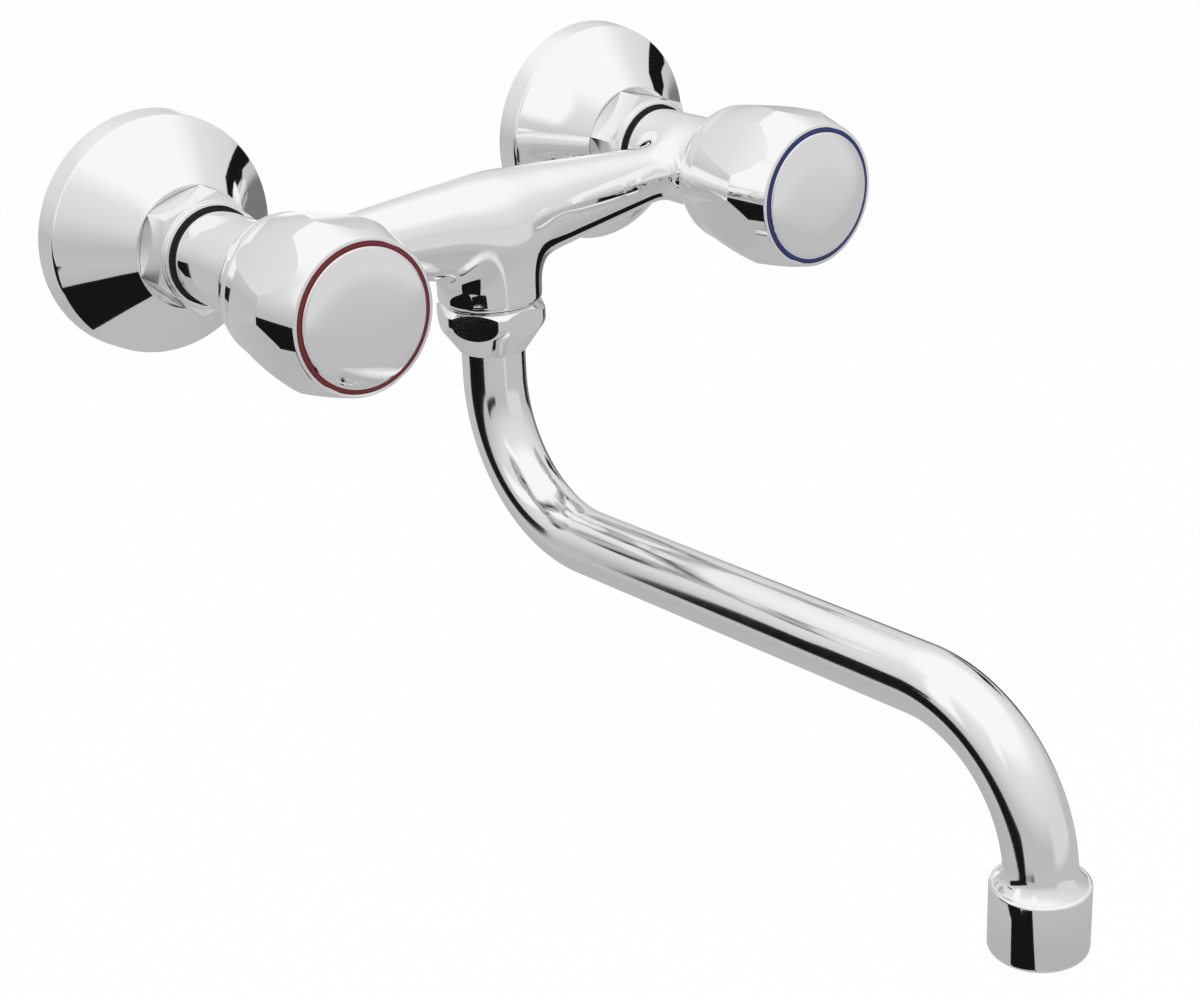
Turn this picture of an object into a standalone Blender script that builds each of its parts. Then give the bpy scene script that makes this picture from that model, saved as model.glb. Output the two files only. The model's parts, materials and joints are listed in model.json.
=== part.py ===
"""Two-handle wall-mounted mixer tap with a swivelling double-bend spout.

Metres, +Z up. The wall is the plane Y = 0 and the tap stands out towards -Y.
The origin lies on the wall, midway between the two inlets, at inlet height.
Hot is at -X and cold at +X. Turned pieces are drawn as (radius, depth)
profiles, where depth is the distance in front of the wall or, for the pieces
around the spout, the height Z.
"""
import math

import bmesh
import bpy
import numpy as np
from mathutils import Matrix

# ---------------------------------------------------------------- layout
INLET_SPACING = 0.150        # standard centre distance of the wall inlets
BODY_DEPTH = 0.050           # wall to the axis of the body and the spout
GAP = 0.0003                 # clearance between seated pieces
NUT_GAP = 0.0013             # shadow gap between a union nut and the body

# ---------------------------------------------------------------- wall end
ROSETTE_R = 0.03305
ROSETTE_RIM = 0.0068         # height of the nearly straight rim
ROSETTE_TOP_R = 0.0176
ROSETTE_H = 0.0217
ROSETTE_WALL = 0.0012
THREAD_34_R = 0.0132         # 3/4 inch thread under the union nut
THREAD_12_R = 0.0104         # 1/2 inch thread into the wall fitting
TAIL_OFFSET = 0.006          # crank of the eccentric union
TAIL_LENGTH = 0.020
UNION_FACE = 0.0273          # front face of the eccentric union
WATERWAY_R = 0.0070
NUT_ACROSS = 0.029
NUT_REAR = ROSETTE_H + GAP
NUT_HEX_END = 0.0312
NUT_FRONT = 0.0332
NUT_LIP_R = 0.0143
COLLAR_FACE = 0.0298         # nipple collar that the nut pulls on
COLLAR_T = 0.0014
NIPPLE_NECK_R = 0.0108
NIPPLE_THREAD_R = 0.0095
HOT_NUT_TURN = math.radians(16.6)
COLD_NUT_TURN = math.radians(43.4)

# ---------------------------------------------------------------- body
BARREL_R = 0.0125
BARREL_FLARE = 0.0006        # the barrel opens slightly towards the handle
BARREL_FRONT = 0.0120        # body axis to the front face of a barrel
BODY_REAR = NUT_FRONT + NUT_GAP
BODY_FRONT = BODY_DEPTH + BARREL_FRONT
BAR_MID_R = 0.0134           # radius of the bar at the spout axis
BAR_END_R = 0.0060           # radius it would reach at a valve axis
BAR_MID_DROP = 0.0031        # its centre line sags towards the spout
BAR_END_DROP = 0.0004
BAR_CROWN = 0.024            # half of the rounded middle, then it is a cone
NECK_R = 0.0146
NECK_END = -0.0249           # shoulder over the spout nut
NECK_CAP_Z = -0.0080
FILLET = 0.010               # blend width where bar, neck and barrels meet
BODY_CELL = 0.0056           # mesh size of the cast body
SEAT_R = 0.0050
SEAT_BACK = 0.0055           # body axis back to the valve seat
SEAT_LAND = 0.0010
SEAT_RIM = 0.0015
SEAT_FACE = BODY_DEPTH - SEAT_BACK
CHAMBER_R = 0.0093
CHAMBER_FLOOR = SEAT_FACE - SEAT_LAND
INLET_BACK = 0.0090          # body axis back to the end of the inlet thread
INLET_FLOOR = BODY_DEPTH - INLET_BACK
PASSAGE_R = 0.0040

# ---------------------------------------------------------------- headwork
WASHER_T = 0.0020            # rubber washer on the valve seat
DISC_R = 0.0062
DISC_T = 0.0024
STEM_R = 0.0030
STEM_LENGTH = 0.0105
VALVE_LIFT = 0.0040
LIFT_SPARE = 0.0011          # left over above the disc when fully open
COLLAR_THICK = 0.0021
SPINDLE_COLLAR_R = 0.0063
BONNET_REACH = 0.0100        # bonnet inside the barrel
SHOULDER_R = 0.0115
SHOULDER_T = 0.0041
SEAL_T = 0.0008
SEAL_R = 0.0108
BONNET_NECK_R = 0.0078
BONNET_NECK = 0.0060
SPINDLE_R = 0.0046
SPINDLE_SQUARE = 0.0070
SPINDLE_REACH = 0.0140       # spindle in front of the bonnet
ORING_BACK = 0.0055
ORING_GROOVE = 0.0020
ORING_WIRE_R = 0.00072
DISC_REAR = SEAT_FACE + WASHER_T + 2 * GAP
DISC_FRONT = DISC_REAR + DISC_T
COLLAR_REAR = DISC_FRONT + VALVE_LIFT + LIFT_SPARE
COLLAR_FRONT = COLLAR_REAR + COLLAR_THICK
SEAL_REAR = BODY_FRONT + GAP
SHOULDER_REAR = SEAL_REAR + SEAL_T + GAP
SHOULDER_END = SHOULDER_REAR + SHOULDER_T
BONNET_END = SHOULDER_END + BONNET_NECK
SPINDLE_END = BONNET_END + SPINDLE_REACH
ORING_MIDDLE = BONNET_END - ORING_BACK

# ---------------------------------------------------------------- handle
KNOB_GAP = 0.0006            # shadow gap between the handle and the barrel
KNOB_REAR_R = 0.0130
KNOB_DOME_R = 0.0196
KNOB_DOME = 0.0094           # length of the domed back
KNOB_TO_WIDE = 0.0291        # rear edge to the widest edge
KNOB_WIDE_R = 0.0230
KNOB_CHAMFER = 0.0120        # widest edge to the front rim
KNOB_FRONT_R = 0.0200
KNOB_RECESS = 0.0025
KNOB_RING_R = 0.0191         # outer wall of the front recess
KNOB_POCKET_R = 0.0168
KNOB_WEB_T = 0.0080
KNOB_CAVITY_R = 0.0123
KNOB_BOSS_R = 0.0075
BOSS_GAP = 0.0015            # running gap between the boss and the bonnet
FLATS = 6
FLAT_APOTHEM = 0.02143       # of the crowned flats, at their highest point
FLAT_TO_WIDE = 0.0017        # highest point of a flat to the widest edge
FLAT_CROWN_R = 0.088         # long radius of the crown
FLAT_TURN = math.radians(49.0)
RING_W = 0.0009
CAP_CROWN = 0.0014
CAP_SKIRT = 0.0040
CAP_WALL = 0.0012
SCREW_R = 0.0020
SCREW_HEAD_R = 0.0052
SCREW_HEAD = 0.0028
SCREW_REACH = 0.0085         # shank inside the spindle
KNOB_REAR = BODY_FRONT + KNOB_GAP
KNOB_DOME_END = KNOB_REAR + KNOB_DOME
KNOB_WIDE = KNOB_REAR + KNOB_TO_WIDE
KNOB_FRONT = KNOB_WIDE + KNOB_CHAMFER
FLAT_TOP = KNOB_WIDE - FLAT_TO_WIDE
WEB_FRONT = SPINDLE_END + 0.0005
WEB_REAR = WEB_FRONT - KNOB_WEB_T

# ---------------------------------------------------------------- spout
SPOUT_NUT_R = 0.0156
SPOUT_NUT_ACROSS = 0.0282
SPOUT_NUT_TURN = math.radians(6.0)
SPOUT_NUT_BELL = -0.0285     # the bell starts to curve in here
SPOUT_NUT_END = -0.0393
BELL_MOUTH = 0.0009          # width of the nut's lower edge
NECK_THREAD_R = 0.0130
NECK_THREAD_END = -0.0323
SEAL_POCKET_R = 0.0116
SEAL_POCKET_TOP = -0.0268
TUBE_R = 0.0090
TUBE_WALL = 0.0016
TUBE_TOP = -0.0225
TUBE_GROOVE_R = 0.0083
SPLIT_RING_Z = -0.0332
SPLIT_RING_T = 0.0014
SPLIT_RING_R = 0.0110
BEND_START = -0.0480
BEND_R = 0.0387
SPOUT_RISE = math.radians(2.5)
SPOUT_RUN = 0.1295
FLARE_R = 0.0113
OUTLET_THREAD_R = 0.0109
OUTLET_THREAD = 0.0070

# ---------------------------------------------------------------- aerator
AERATOR_R = 0.01235
AERATOR_H = 0.0183
AERATOR_MOUTH_R = 0.0096
AERATOR_LIP = 0.0018
AERATOR_WASHER_R = 0.0086
AERATOR_WASHER_T = 0.0011
INSERT_R = 0.0104
INSERT_HOLE = 0.0026
INSERT_WEB = 0.0009

ROUND = 24                   # sides of the large turned pieces
SMALL = 12                   # sides of the small and inner turned pieces


def clear_scene():
    for obj in list(bpy.data.objects):
        bpy.data.objects.remove(obj, do_unlink=True)


def new_collection(name, parent=None):
    group = bpy.data.collections.new(name)
    (parent or bpy.context.scene.collection).children.link(group)
    return group


def new_material(name, colour, metallic, roughness):
    mat = bpy.data.materials.new(name)
    mat.use_nodes = True
    shader = mat.node_tree.nodes["Principled BSDF"]
    shader.inputs["Base Color"].default_value = (*colour, 1.0)
    shader.inputs["Metallic"].default_value = metallic
    shader.inputs["Roughness"].default_value = roughness
    mat.diffuse_color = (*colour, 1.0)
    return mat


clear_scene()
PARTS = new_collection("two_handle_wall_tap")
CUTTERS = new_collection("cutters")


def chrome(name):
    return new_material(name, (0.83, 0.84, 0.85), 1.0, 0.05)


def brass(name):
    return new_material(name, (0.72, 0.56, 0.28), 1.0, 0.30)


def rubber(name):
    return new_material(name, (0.02, 0.02, 0.02), 0.0, 0.65)


def nylon(name):
    return new_material(name, (0.82, 0.82, 0.79), 0.0, 0.45)


def new_empty(name, location, wall_axis=False):
    """An empty on an axis; with wall_axis its local +Z looks out of the wall."""
    empty = bpy.data.objects.new(name, None)
    empty.empty_display_size = 0.01
    PARTS.objects.link(empty)
    empty.location = location
    if wall_axis:
        empty.rotation_euler = (math.pi / 2, 0.0, 0.0)
    return empty


def new_object(name, mesh, parent, material=None, cutter=False):
    obj = bpy.data.objects.new(name, mesh)
    (CUTTERS if cutter else PARTS).objects.link(obj)
    obj.parent = parent
    if material:
        mesh.materials.append(material)
    if cutter:
        obj.hide_render = True
        obj.display_type = "WIRE"
    return obj


def turned(name, profile, parent, material=None, sides=SMALL, ring=False,
           turn=0.0, cutter=False):
    """A turned piece from a (radius, depth) profile, drawn top to bottom.

    ring closes the profile into a loop; otherwise it starts and ends on the
    axis. turn rotates the piece about its axis, which matters for hexagons.
    """
    mesh = bpy.data.meshes.new(name)
    count = len(profile)
    edges = [(i, i + 1) for i in range(count - 1)]
    if ring:
        edges.append((count - 1, 0))
    mesh.from_pydata([(r, 0.0, z) for r, z in profile], edges, [])
    obj = new_object(name, mesh, parent, material, cutter)
    obj.rotation_euler = (0.0, 0.0, turn)
    screw = obj.modifiers.new("Turn", "SCREW")
    screw.axis = "Z"
    screw.angle = 2 * math.pi
    screw.steps = sides
    screw.render_steps = sides
    screw.use_merge_vertices = True
    screw.merge_threshold = 1e-5
    return obj


def cylinder_cutter(name, radius, length, parent, location, direction="Z",
                    sides=SMALL, places=((0.0, 0.0),), turn=0.0):
    """Parallel cylinders, one at each place, centred on the location."""
    mesh = bpy.data.meshes.new(name)
    shape = bmesh.new()
    spin = Matrix.Rotation(turn, 4, "Z")
    for x, y in places:
        bmesh.ops.create_cone(shape, cap_ends=True, segments=sides,
                              radius1=radius, radius2=radius, depth=length,
                              matrix=Matrix.Translation((x, y, 0.0)) @ spin)
    shape.to_mesh(mesh)
    shape.free()
    obj = new_object(name, mesh, parent, cutter=True)
    obj.location = location
    if direction == "X":
        obj.rotation_euler = (0.0, math.pi / 2, 0.0)
    return obj


def box_cutter(name, size, parent, location, turn=0.0):
    mesh = bpy.data.meshes.new(name)
    shape = bmesh.new()
    bmesh.ops.create_cube(shape, size=1.0)
    bmesh.ops.scale(shape, vec=size, verts=shape.verts)
    shape.to_mesh(mesh)
    shape.free()
    obj = new_object(name, mesh, parent, cutter=True)
    obj.location = location
    obj.rotation_euler = (0.0, 0.0, turn)
    return obj


def combine(obj, other, operation):
    boolean = obj.modifiers.new(operation.title(), "BOOLEAN")
    boolean.operation = operation
    boolean.solver = "EXACT"
    boolean.object = other


def freeze(obj, sharp_degrees=30.0):
    """Turns an object's modifiers into its mesh, shaded smooth but for edges."""
    bpy.context.view_layer.update()
    graph = bpy.context.evaluated_depsgraph_get()
    mesh = bpy.data.meshes.new_from_object(obj.evaluated_get(graph))
    shape = bmesh.new()
    shape.from_mesh(mesh)
    bmesh.ops.remove_doubles(shape, verts=shape.verts, dist=1e-6)
    bmesh.ops.dissolve_degenerate(shape, edges=shape.edges, dist=1e-6)
    shape.to_mesh(mesh)
    shape.free()
    obj.modifiers.clear()
    obj.data = mesh
    mesh.name = obj.name
    mesh.shade_smooth()
    mesh.set_sharp_from_angle(angle=math.radians(sharp_degrees))
    return obj


def arc(centre, radius, start, end, steps):
    """Points on an arc of a profile, angles in degrees from +radius."""
    angles = np.radians(np.linspace(start, end, steps + 1))
    return [(centre[0] + radius * math.cos(a),
             centre[1] + radius * math.sin(a)) for a in angles]


def lofted(name, rings, parent, material=None, sides=SMALL, cutter=False):
    """A closed loft of circles, each given as (offset_y, radius, depth)."""
    shape = bmesh.new()
    loops = []
    for offset, radius, depth in rings:
        loop = []
        for k in range(sides):
            a = 2 * math.pi * k / sides
            loop.append(shape.verts.new((radius * math.cos(a),
                                         offset + radius * math.sin(a), depth)))
        loops.append(loop)
    for low, high in zip(loops, loops[1:]):
        for k in range(sides):
            n = (k + 1) % sides
            shape.faces.new((low[k], low[n], high[n], high[k]))
    shape.faces.new(reversed(loops[0]))
    shape.faces.new(loops[-1])
    mesh = bpy.data.meshes.new(name)
    shape.to_mesh(mesh)
    shape.free()
    return new_object(name, mesh, parent, material, cutter)


# ---------------------------------------------------------------- wall end
def build_rosette(side, axis):
    """Spun cover: a nearly straight rim, then a cone up to the union nut."""
    hole = THREAD_34_R + GAP
    edge = 0.0016
    wall = ROSETTE_WALL
    rim_r = ROSETTE_R - 0.0006
    profile = [(hole, ROSETTE_H), (ROSETTE_TOP_R - 0.0008, ROSETTE_H),
               (ROSETTE_TOP_R, ROSETTE_H - 0.0005)]
    profile += arc((rim_r - edge, ROSETTE_RIM - edge * 0.4), edge, 55, 5, 3)
    profile += [(ROSETTE_R, 0.0), (ROSETTE_R - wall, 0.0),
                (rim_r - wall, ROSETTE_RIM - wall),
                (ROSETTE_TOP_R - wall, ROSETTE_H - wall * 1.4),
                (hole, ROSETTE_H - wall)]
    rosette = turned(f"{side}_wall_rosette", profile, axis,
                     chrome(f"{side}_rosette_chrome"), ROUND, ring=True)
    return freeze(rosette)


def build_eccentric_union(side, axis):
    """Cranked connector: 1/2 inch tail in the wall, 3/4 inch thread in front."""
    rings = [(TAIL_OFFSET, THREAD_12_R, -TAIL_LENGTH),
             (TAIL_OFFSET, THREAD_12_R, 0.0015),
             (0.0, THREAD_34_R, 0.0075),
             (0.0, THREAD_34_R, UNION_FACE)]
    union = lofted(f"{side}_eccentric_union", rings, axis,
                   chrome(f"{side}_union_chrome"))
    bore = [(TAIL_OFFSET, WATERWAY_R, -TAIL_LENGTH - 0.001),
            (TAIL_OFFSET, WATERWAY_R, 0.0010),
            (0.0, WATERWAY_R + 0.0015, 0.0080),
            (0.0, WATERWAY_R + 0.0015, UNION_FACE + 0.001)]
    combine(union, lofted(f"{side}_union_bore", bore, axis, cutter=True),
            "DIFFERENCE")
    return freeze(union)


def build_inlet_washer(side, axis):
    front = COLLAR_FACE - GAP
    rear = UNION_FACE + GAP
    outer = THREAD_34_R - 0.0006
    inner = WATERWAY_R + 0.0015
    profile = [(inner, front), (outer, front), (outer, rear), (inner, rear)]
    return freeze(turned(f"{side}_inlet_washer", profile, axis,
                         rubber(f"{side}_inlet_washer_rubber"), ring=True))


def build_inlet_nipple(side, axis):
    """Screwed insert whose collar the union nut pulls on."""
    end = INLET_FLOOR - GAP
    rear = COLLAR_FACE
    collar_r = THREAD_34_R - 0.0003
    profile = [(WATERWAY_R, end), (NIPPLE_THREAD_R, end),
               (NIPPLE_THREAD_R, BODY_REAR - GAP),
               (NIPPLE_NECK_R, BODY_REAR - GAP),
               (NIPPLE_NECK_R, rear + COLLAR_T), (collar_r, rear + COLLAR_T),
               (collar_r, rear), (WATERWAY_R, rear)]
    return freeze(turned(f"{side}_inlet_nipple", profile, axis,
                         brass(f"{side}_nipple_brass"), ring=True))


def build_union_nut(side, axis, turn):
    """Hexagon nut with a round lip in front and chamfered corners."""
    corner = NUT_ACROSS / math.sqrt(3)
    bore = THREAD_34_R + GAP
    neck = NIPPLE_NECK_R + GAP
    flange = COLLAR_FACE + COLLAR_T + GAP
    blank = [(neck, NUT_FRONT), (NUT_LIP_R - 0.0007, NUT_FRONT),
             (NUT_LIP_R, NUT_FRONT - 0.0007), (NUT_LIP_R, NUT_HEX_END + 0.0002),
             (corner + 0.0001, NUT_HEX_END - 0.0006),
             (corner + 0.0001, NUT_REAR + 0.0009),
             (NUT_ACROSS / 2, NUT_REAR), (bore, NUT_REAR),
             (bore, flange), (neck, flange)]
    nut = turned(f"{side}_union_nut", blank, axis,
                 chrome(f"{side}_nut_chrome"), ROUND, ring=True, turn=turn)
    front, rear = NUT_FRONT + NUT_LIP_R, NUT_REAR - NUT_LIP_R
    prism = [(0.0, front), (corner, front), (corner, rear), (0.0, rear)]
    combine(nut, turned(f"{side}_nut_hexagon", prism, axis, sides=6,
                        turn=turn, cutter=True), "INTERSECT")
    return freeze(nut)


# ---------------------------------------------------------------- body
def smooth_min(a, b, width):
    """Minimum of two distances with a rounded transition of that width."""
    h = np.maximum(width - np.abs(a - b), 0.0) / width
    return np.minimum(a, b) - h ** 3 * width / 6


def bar_taper(x):
    """0 at the spout axis and 1 at a valve axis: a cone with a round middle."""
    x = np.abs(x)
    along = np.where(x > BAR_CROWN, x - BAR_CROWN / 2, x ** 2 / (2 * BAR_CROWN))
    return np.minimum(along / (INLET_SPACING / 2 - BAR_CROWN / 2), 1.0)


def body_distance(points):
    """Distance to the outer skin of the cast body: bar, neck and barrels."""
    x, depth, z = points[:, 0], -points[:, 1], points[:, 2]
    t = bar_taper(x)
    drop = BAR_MID_DROP + (BAR_END_DROP - BAR_MID_DROP) * t
    radius = BAR_MID_R + (BAR_END_R - BAR_MID_R) * t
    across = depth - BODY_DEPTH
    bar = np.hypot(across, z + drop) - radius
    neck = np.sqrt(x ** 2 + across ** 2
                   + np.maximum(z - NECK_CAP_Z, 0.0) ** 2) - NECK_R
    side = np.abs(x) - INLET_SPACING / 2
    flare = BARREL_FLARE * (depth - BODY_REAR) / (BODY_FRONT - BODY_REAR)
    barrel = np.hypot(side, z) - BARREL_R - np.clip(flare, 0.0, BARREL_FLARE)
    beyond = np.abs(x) - INLET_SPACING / 2
    bar = np.maximum(bar, beyond)
    return smooth_min(smooth_min(bar, neck, FILLET), barrel, FILLET)


def settle_on_skin(mesh):
    """Moves every vertex along the gradient onto the skin of the body."""
    points = np.empty(len(mesh.vertices) * 3)
    mesh.vertices.foreach_get("co", points)
    points = points.reshape(-1, 3)
    step = 1e-5
    fixed = (points[:, 1] > -BODY_REAR + 0.002)
    fixed |= (points[:, 1] < -BODY_FRONT - 0.002)
    fixed |= (points[:, 2] < NECK_THREAD_END - 0.002)
    for _ in range(8):
        value = body_distance(points)
        slope = np.stack([(body_distance(points + step * axis)
                           - body_distance(points - step * axis)) / (2 * step)
                          for axis in np.eye(3)], axis=1)
        size = np.maximum((slope ** 2).sum(axis=1), 0.2)
        move = slope * (value / size)[:, None]
        move[fixed] = 0.0
        points -= move
    mesh.vertices.foreach_set("co", points.astype(np.float32).ravel())
    mesh.update()


def build_body_blank(material):
    """Rough bar, neck and barrels, fused, remeshed and drawn to the skin."""
    half = INLET_SPACING / 2
    blank_axis = new_empty("bar_axis", (0.0, -BODY_DEPTH, -BAR_END_DROP))
    blank_axis.rotation_euler = (0.0, math.pi / 2, 0.0)
    bar = turned("mixer_body", [(0.0, half), (BAR_END_R, half),
                                (BAR_MID_R, 0.0), (BAR_END_R, -half),
                                (0.0, -half)], blank_axis, material)
    spout_side = [(0.0, 0.0), (NECK_R, 0.0), (NECK_R, NECK_THREAD_END - 0.004),
                  (0.0, NECK_THREAD_END - 0.004)]
    combine(bar, turned("rough_neck", spout_side, SPOUT_AXIS, cutter=True),
            "UNION")
    for side, axis in (("hot", HOT_AXIS), ("cold", COLD_AXIS)):
        barrel = [(0.0, BODY_FRONT + 0.004), (BARREL_R, BODY_FRONT + 0.004),
                  (BARREL_R, BODY_REAR - 0.004), (0.0, BODY_REAR - 0.004)]
        combine(bar, turned(f"rough_{side}_barrel", barrel, axis, cutter=True),
                "UNION")
    freeze(bar)
    world = bar.matrix_world.copy()
    bar.parent = None
    bar.matrix_world = Matrix.Identity(4)
    bar.data.transform(world)
    remesh = bar.modifiers.new("Even mesh", "REMESH")
    remesh.mode = "VOXEL"
    remesh.voxel_size = BODY_CELL
    freeze(bar)
    settle_on_skin(bar.data)
    bpy.data.objects.remove(blank_axis, do_unlink=True)
    return bar


def build_mixer_body():
    """Cast body: tapered bar, spout neck and valve barrels, bored hollow."""
    body = build_body_blank(chrome("body_chrome"))
    clear = 0.022
    for side, axis in (("hot", HOT_AXIS), ("cold", COLD_AXIS)):
        bore = [(0.0, BODY_FRONT + 0.015), (clear, BODY_FRONT + 0.015),
                (clear, BODY_FRONT), (CHAMBER_R, BODY_FRONT),
                (CHAMBER_R, CHAMBER_FLOOR), (SEAT_R + SEAT_RIM, CHAMBER_FLOOR),
                (SEAT_R + SEAT_RIM, SEAT_FACE), (SEAT_R, SEAT_FACE),
                (SEAT_R, INLET_FLOOR), (NIPPLE_THREAD_R + GAP, INLET_FLOOR),
                (NIPPLE_THREAD_R + GAP, BODY_REAR), (BARREL_R - 0.0005, BODY_REAR),
                (BARREL_R + 0.0006, BODY_REAR + 0.0010), (clear, BODY_REAR),
                (clear, BODY_REAR - 0.012), (0.0, BODY_REAR - 0.012)]
        combine(body, turned(f"{side}_valve_bore", bore, axis, cutter=True),
                "DIFFERENCE")
    outlet = [(0.0, -0.004), (TUBE_R - 0.0012, -0.004),
              (TUBE_R - 0.0012, TUBE_TOP + GAP), (TUBE_R + GAP, TUBE_TOP + GAP),
              (TUBE_R + GAP, SEAL_POCKET_TOP), (SEAL_POCKET_R, SEAL_POCKET_TOP),
              (SEAL_POCKET_R, NECK_THREAD_END), (clear, NECK_THREAD_END),
              (clear, NECK_THREAD_END - 0.012), (0.0, NECK_THREAD_END - 0.012)]
    combine(body, turned("outlet_bore", outlet, SPOUT_AXIS, cutter=True),
            "DIFFERENCE")
    shoulder = [(NECK_THREAD_R, NECK_END), (NECK_R - 0.0012, NECK_END),
                (NECK_R - 0.0003, NECK_END + 0.0007),
                (NECK_R + 0.0002, NECK_END + 0.0018),
                (clear, NECK_END + 0.0018), (clear, NECK_THREAD_END - 0.001),
                (NECK_THREAD_R, NECK_THREAD_END - 0.001)]
    combine(body, turned("neck_shoulder", shoulder, SPOUT_AXIS, sides=ROUND,
                         ring=True, cutter=True), "DIFFERENCE")
    passage = cylinder_cutter("mixing_passage", PASSAGE_R, INLET_SPACING,
                              SPOUT_AXIS, (0.0, 0.0010, -0.0012), "X")
    combine(body, passage, "DIFFERENCE")
    return freeze(body, 32.0)


# ---------------------------------------------------------------- headwork
def build_bonnet(side, axis):
    """Brass headwork housing with a hexagon shoulder under the handle."""
    bore = SPINDLE_R + GAP
    pocket = SPINDLE_COLLAR_R + 0.0005
    floor = COLLAR_FRONT + GAP
    rear = BODY_FRONT - BONNET_REACH
    profile = [(bore, BONNET_END), (BONNET_NECK_R - 0.0006, BONNET_END),
               (BONNET_NECK_R, BONNET_END - 0.0006),
               (BONNET_NECK_R, SHOULDER_END), (SHOULDER_R, SHOULDER_END),
               (SHOULDER_R, SHOULDER_REAR), (CHAMBER_R - GAP, SHOULDER_REAR),
               (CHAMBER_R - GAP, rear), (pocket, rear),
               (pocket, floor), (bore, floor)]
    bonnet = turned(f"{side}_valve_bonnet", profile, axis,
                    brass(f"{side}_bonnet_brass"), ring=True)
    corner = SHOULDER_R * 1.02
    front, rear = BONNET_END + BONNET_NECK, rear - BONNET_NECK
    hexagon = [(0.0, front), (corner, front), (corner, rear), (0.0, rear)]
    combine(bonnet, turned(f"{side}_bonnet_hexagon", hexagon, axis, sides=6,
                           cutter=True), "INTERSECT")
    return freeze(bonnet)


def build_bonnet_seal(side, axis):
    front = SEAL_REAR + SEAL_T
    profile = [(CHAMBER_R, front), (SEAL_R, front), (SEAL_R, SEAL_REAR),
               (CHAMBER_R, SEAL_REAR)]
    return freeze(turned(f"{side}_bonnet_seal", profile, axis,
                         rubber(f"{side}_bonnet_seal_rubber"), ring=True))


def build_spindle(side, axis):
    """Non-rising spindle: collar and nut thread inside, square end in front."""
    groove_r = SPINDLE_R + GAP - 2 * ORING_WIRE_R - 0.00016
    low, high = ORING_MIDDLE - ORING_GROOVE / 2, ORING_MIDDLE + ORING_GROOVE / 2
    bore_end = DISC_FRONT + STEM_LENGTH + VALVE_LIFT + 0.0020
    profile = [(0.0, SPINDLE_END), (SPINDLE_R, SPINDLE_END),
               (SPINDLE_R, high), (groove_r, high), (groove_r, low),
               (SPINDLE_R, low), (SPINDLE_R, COLLAR_FRONT),
               (SPINDLE_COLLAR_R, COLLAR_FRONT), (SPINDLE_COLLAR_R, COLLAR_REAR),
               (STEM_R + GAP, COLLAR_REAR), (STEM_R + GAP, bore_end),
               (0.0, bore_end)]
    spindle = turned(f"{side}_spindle", profile, axis,
                     brass(f"{side}_spindle_brass"))
    length = SPINDLE_REACH
    middle = BONNET_END + BOSS_GAP + length / 2
    wide = 4 * SPINDLE_R
    for k in range(4):
        turn = FLAT_TURN + k * math.pi / 2
        reach = SPINDLE_SQUARE / 2 + wide / 2
        flat = box_cutter(f"{side}_spindle_flat_{k + 1}", (wide, wide, length),
                          axis, (reach * math.cos(turn), reach * math.sin(turn),
                                 middle), turn)
        combine(spindle, flat, "DIFFERENCE")
    hole = cylinder_cutter(f"{side}_spindle_hole", SCREW_R + GAP,
                           2 * SCREW_REACH + 0.003, axis, (0.0, 0.0, SPINDLE_END))
    combine(spindle, hole, "DIFFERENCE")
    return freeze(spindle)


def build_spindle_oring(side, axis):
    middle = SPINDLE_R + GAP - ORING_WIRE_R - 0.00008
    profile = arc((middle, ORING_MIDDLE), ORING_WIRE_R, 90, -210, 5)
    return freeze(turned(f"{side}_spindle_oring", profile, axis,
                         rubber(f"{side}_oring_rubber"), ring=True), 60.0)


def build_plunger(side, axis):
    """Jumper with a stem screwed into the spindle; it carries the washer."""
    end = DISC_FRONT + STEM_LENGTH
    profile = [(0.0, end), (STEM_R, end), (STEM_R, DISC_FRONT),
               (DISC_R, DISC_FRONT), (DISC_R, DISC_REAR), (0.0, DISC_REAR)]
    return freeze(turned(f"{side}_valve_plunger", profile, axis,
                         brass(f"{side}_plunger_brass")))


def build_valve_washer(side, axis):
    front = DISC_REAR - GAP
    rear = SEAT_FACE + GAP
    outer = DISC_R - 0.0003
    profile = [(0.0, front), (outer, front), (outer, rear + 0.0003),
               (outer - 0.0003, rear), (0.0, rear)]
    return freeze(turned(f"{side}_valve_washer", profile, axis,
                         rubber(f"{side}_valve_washer_rubber")))


# ---------------------------------------------------------------- handle
def flats_barrel(side, axis):
    """Six-sided barrel whose long faces are crowned like the handle's flats."""
    low, high = KNOB_REAR - KNOB_RECESS, KNOB_FRONT + KNOB_RECESS
    profile = [(0.0, high)]
    for depth in np.linspace(high, low, 11):
        crown = (depth - FLAT_TOP) ** 2 / (2 * FLAT_CROWN_R)
        profile.append(((FLAT_APOTHEM - crown) / math.cos(math.pi / FLATS),
                        depth))
    profile.append((0.0, low))
    return turned(f"{side}_flats", profile, axis, sides=FLATS,
                  turn=FLAT_TURN, cutter=True)


def knob_dome():
    """Rear dome of the handle: a quarter ellipse from the cone to the barrel."""
    rise = KNOB_DOME_R - KNOB_REAR_R
    return [(KNOB_REAR_R + rise * math.cos(a),
             KNOB_DOME_END - KNOB_DOME * math.sin(a))
            for a in np.radians(np.linspace(0.0, 90.0, 5))]


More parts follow.
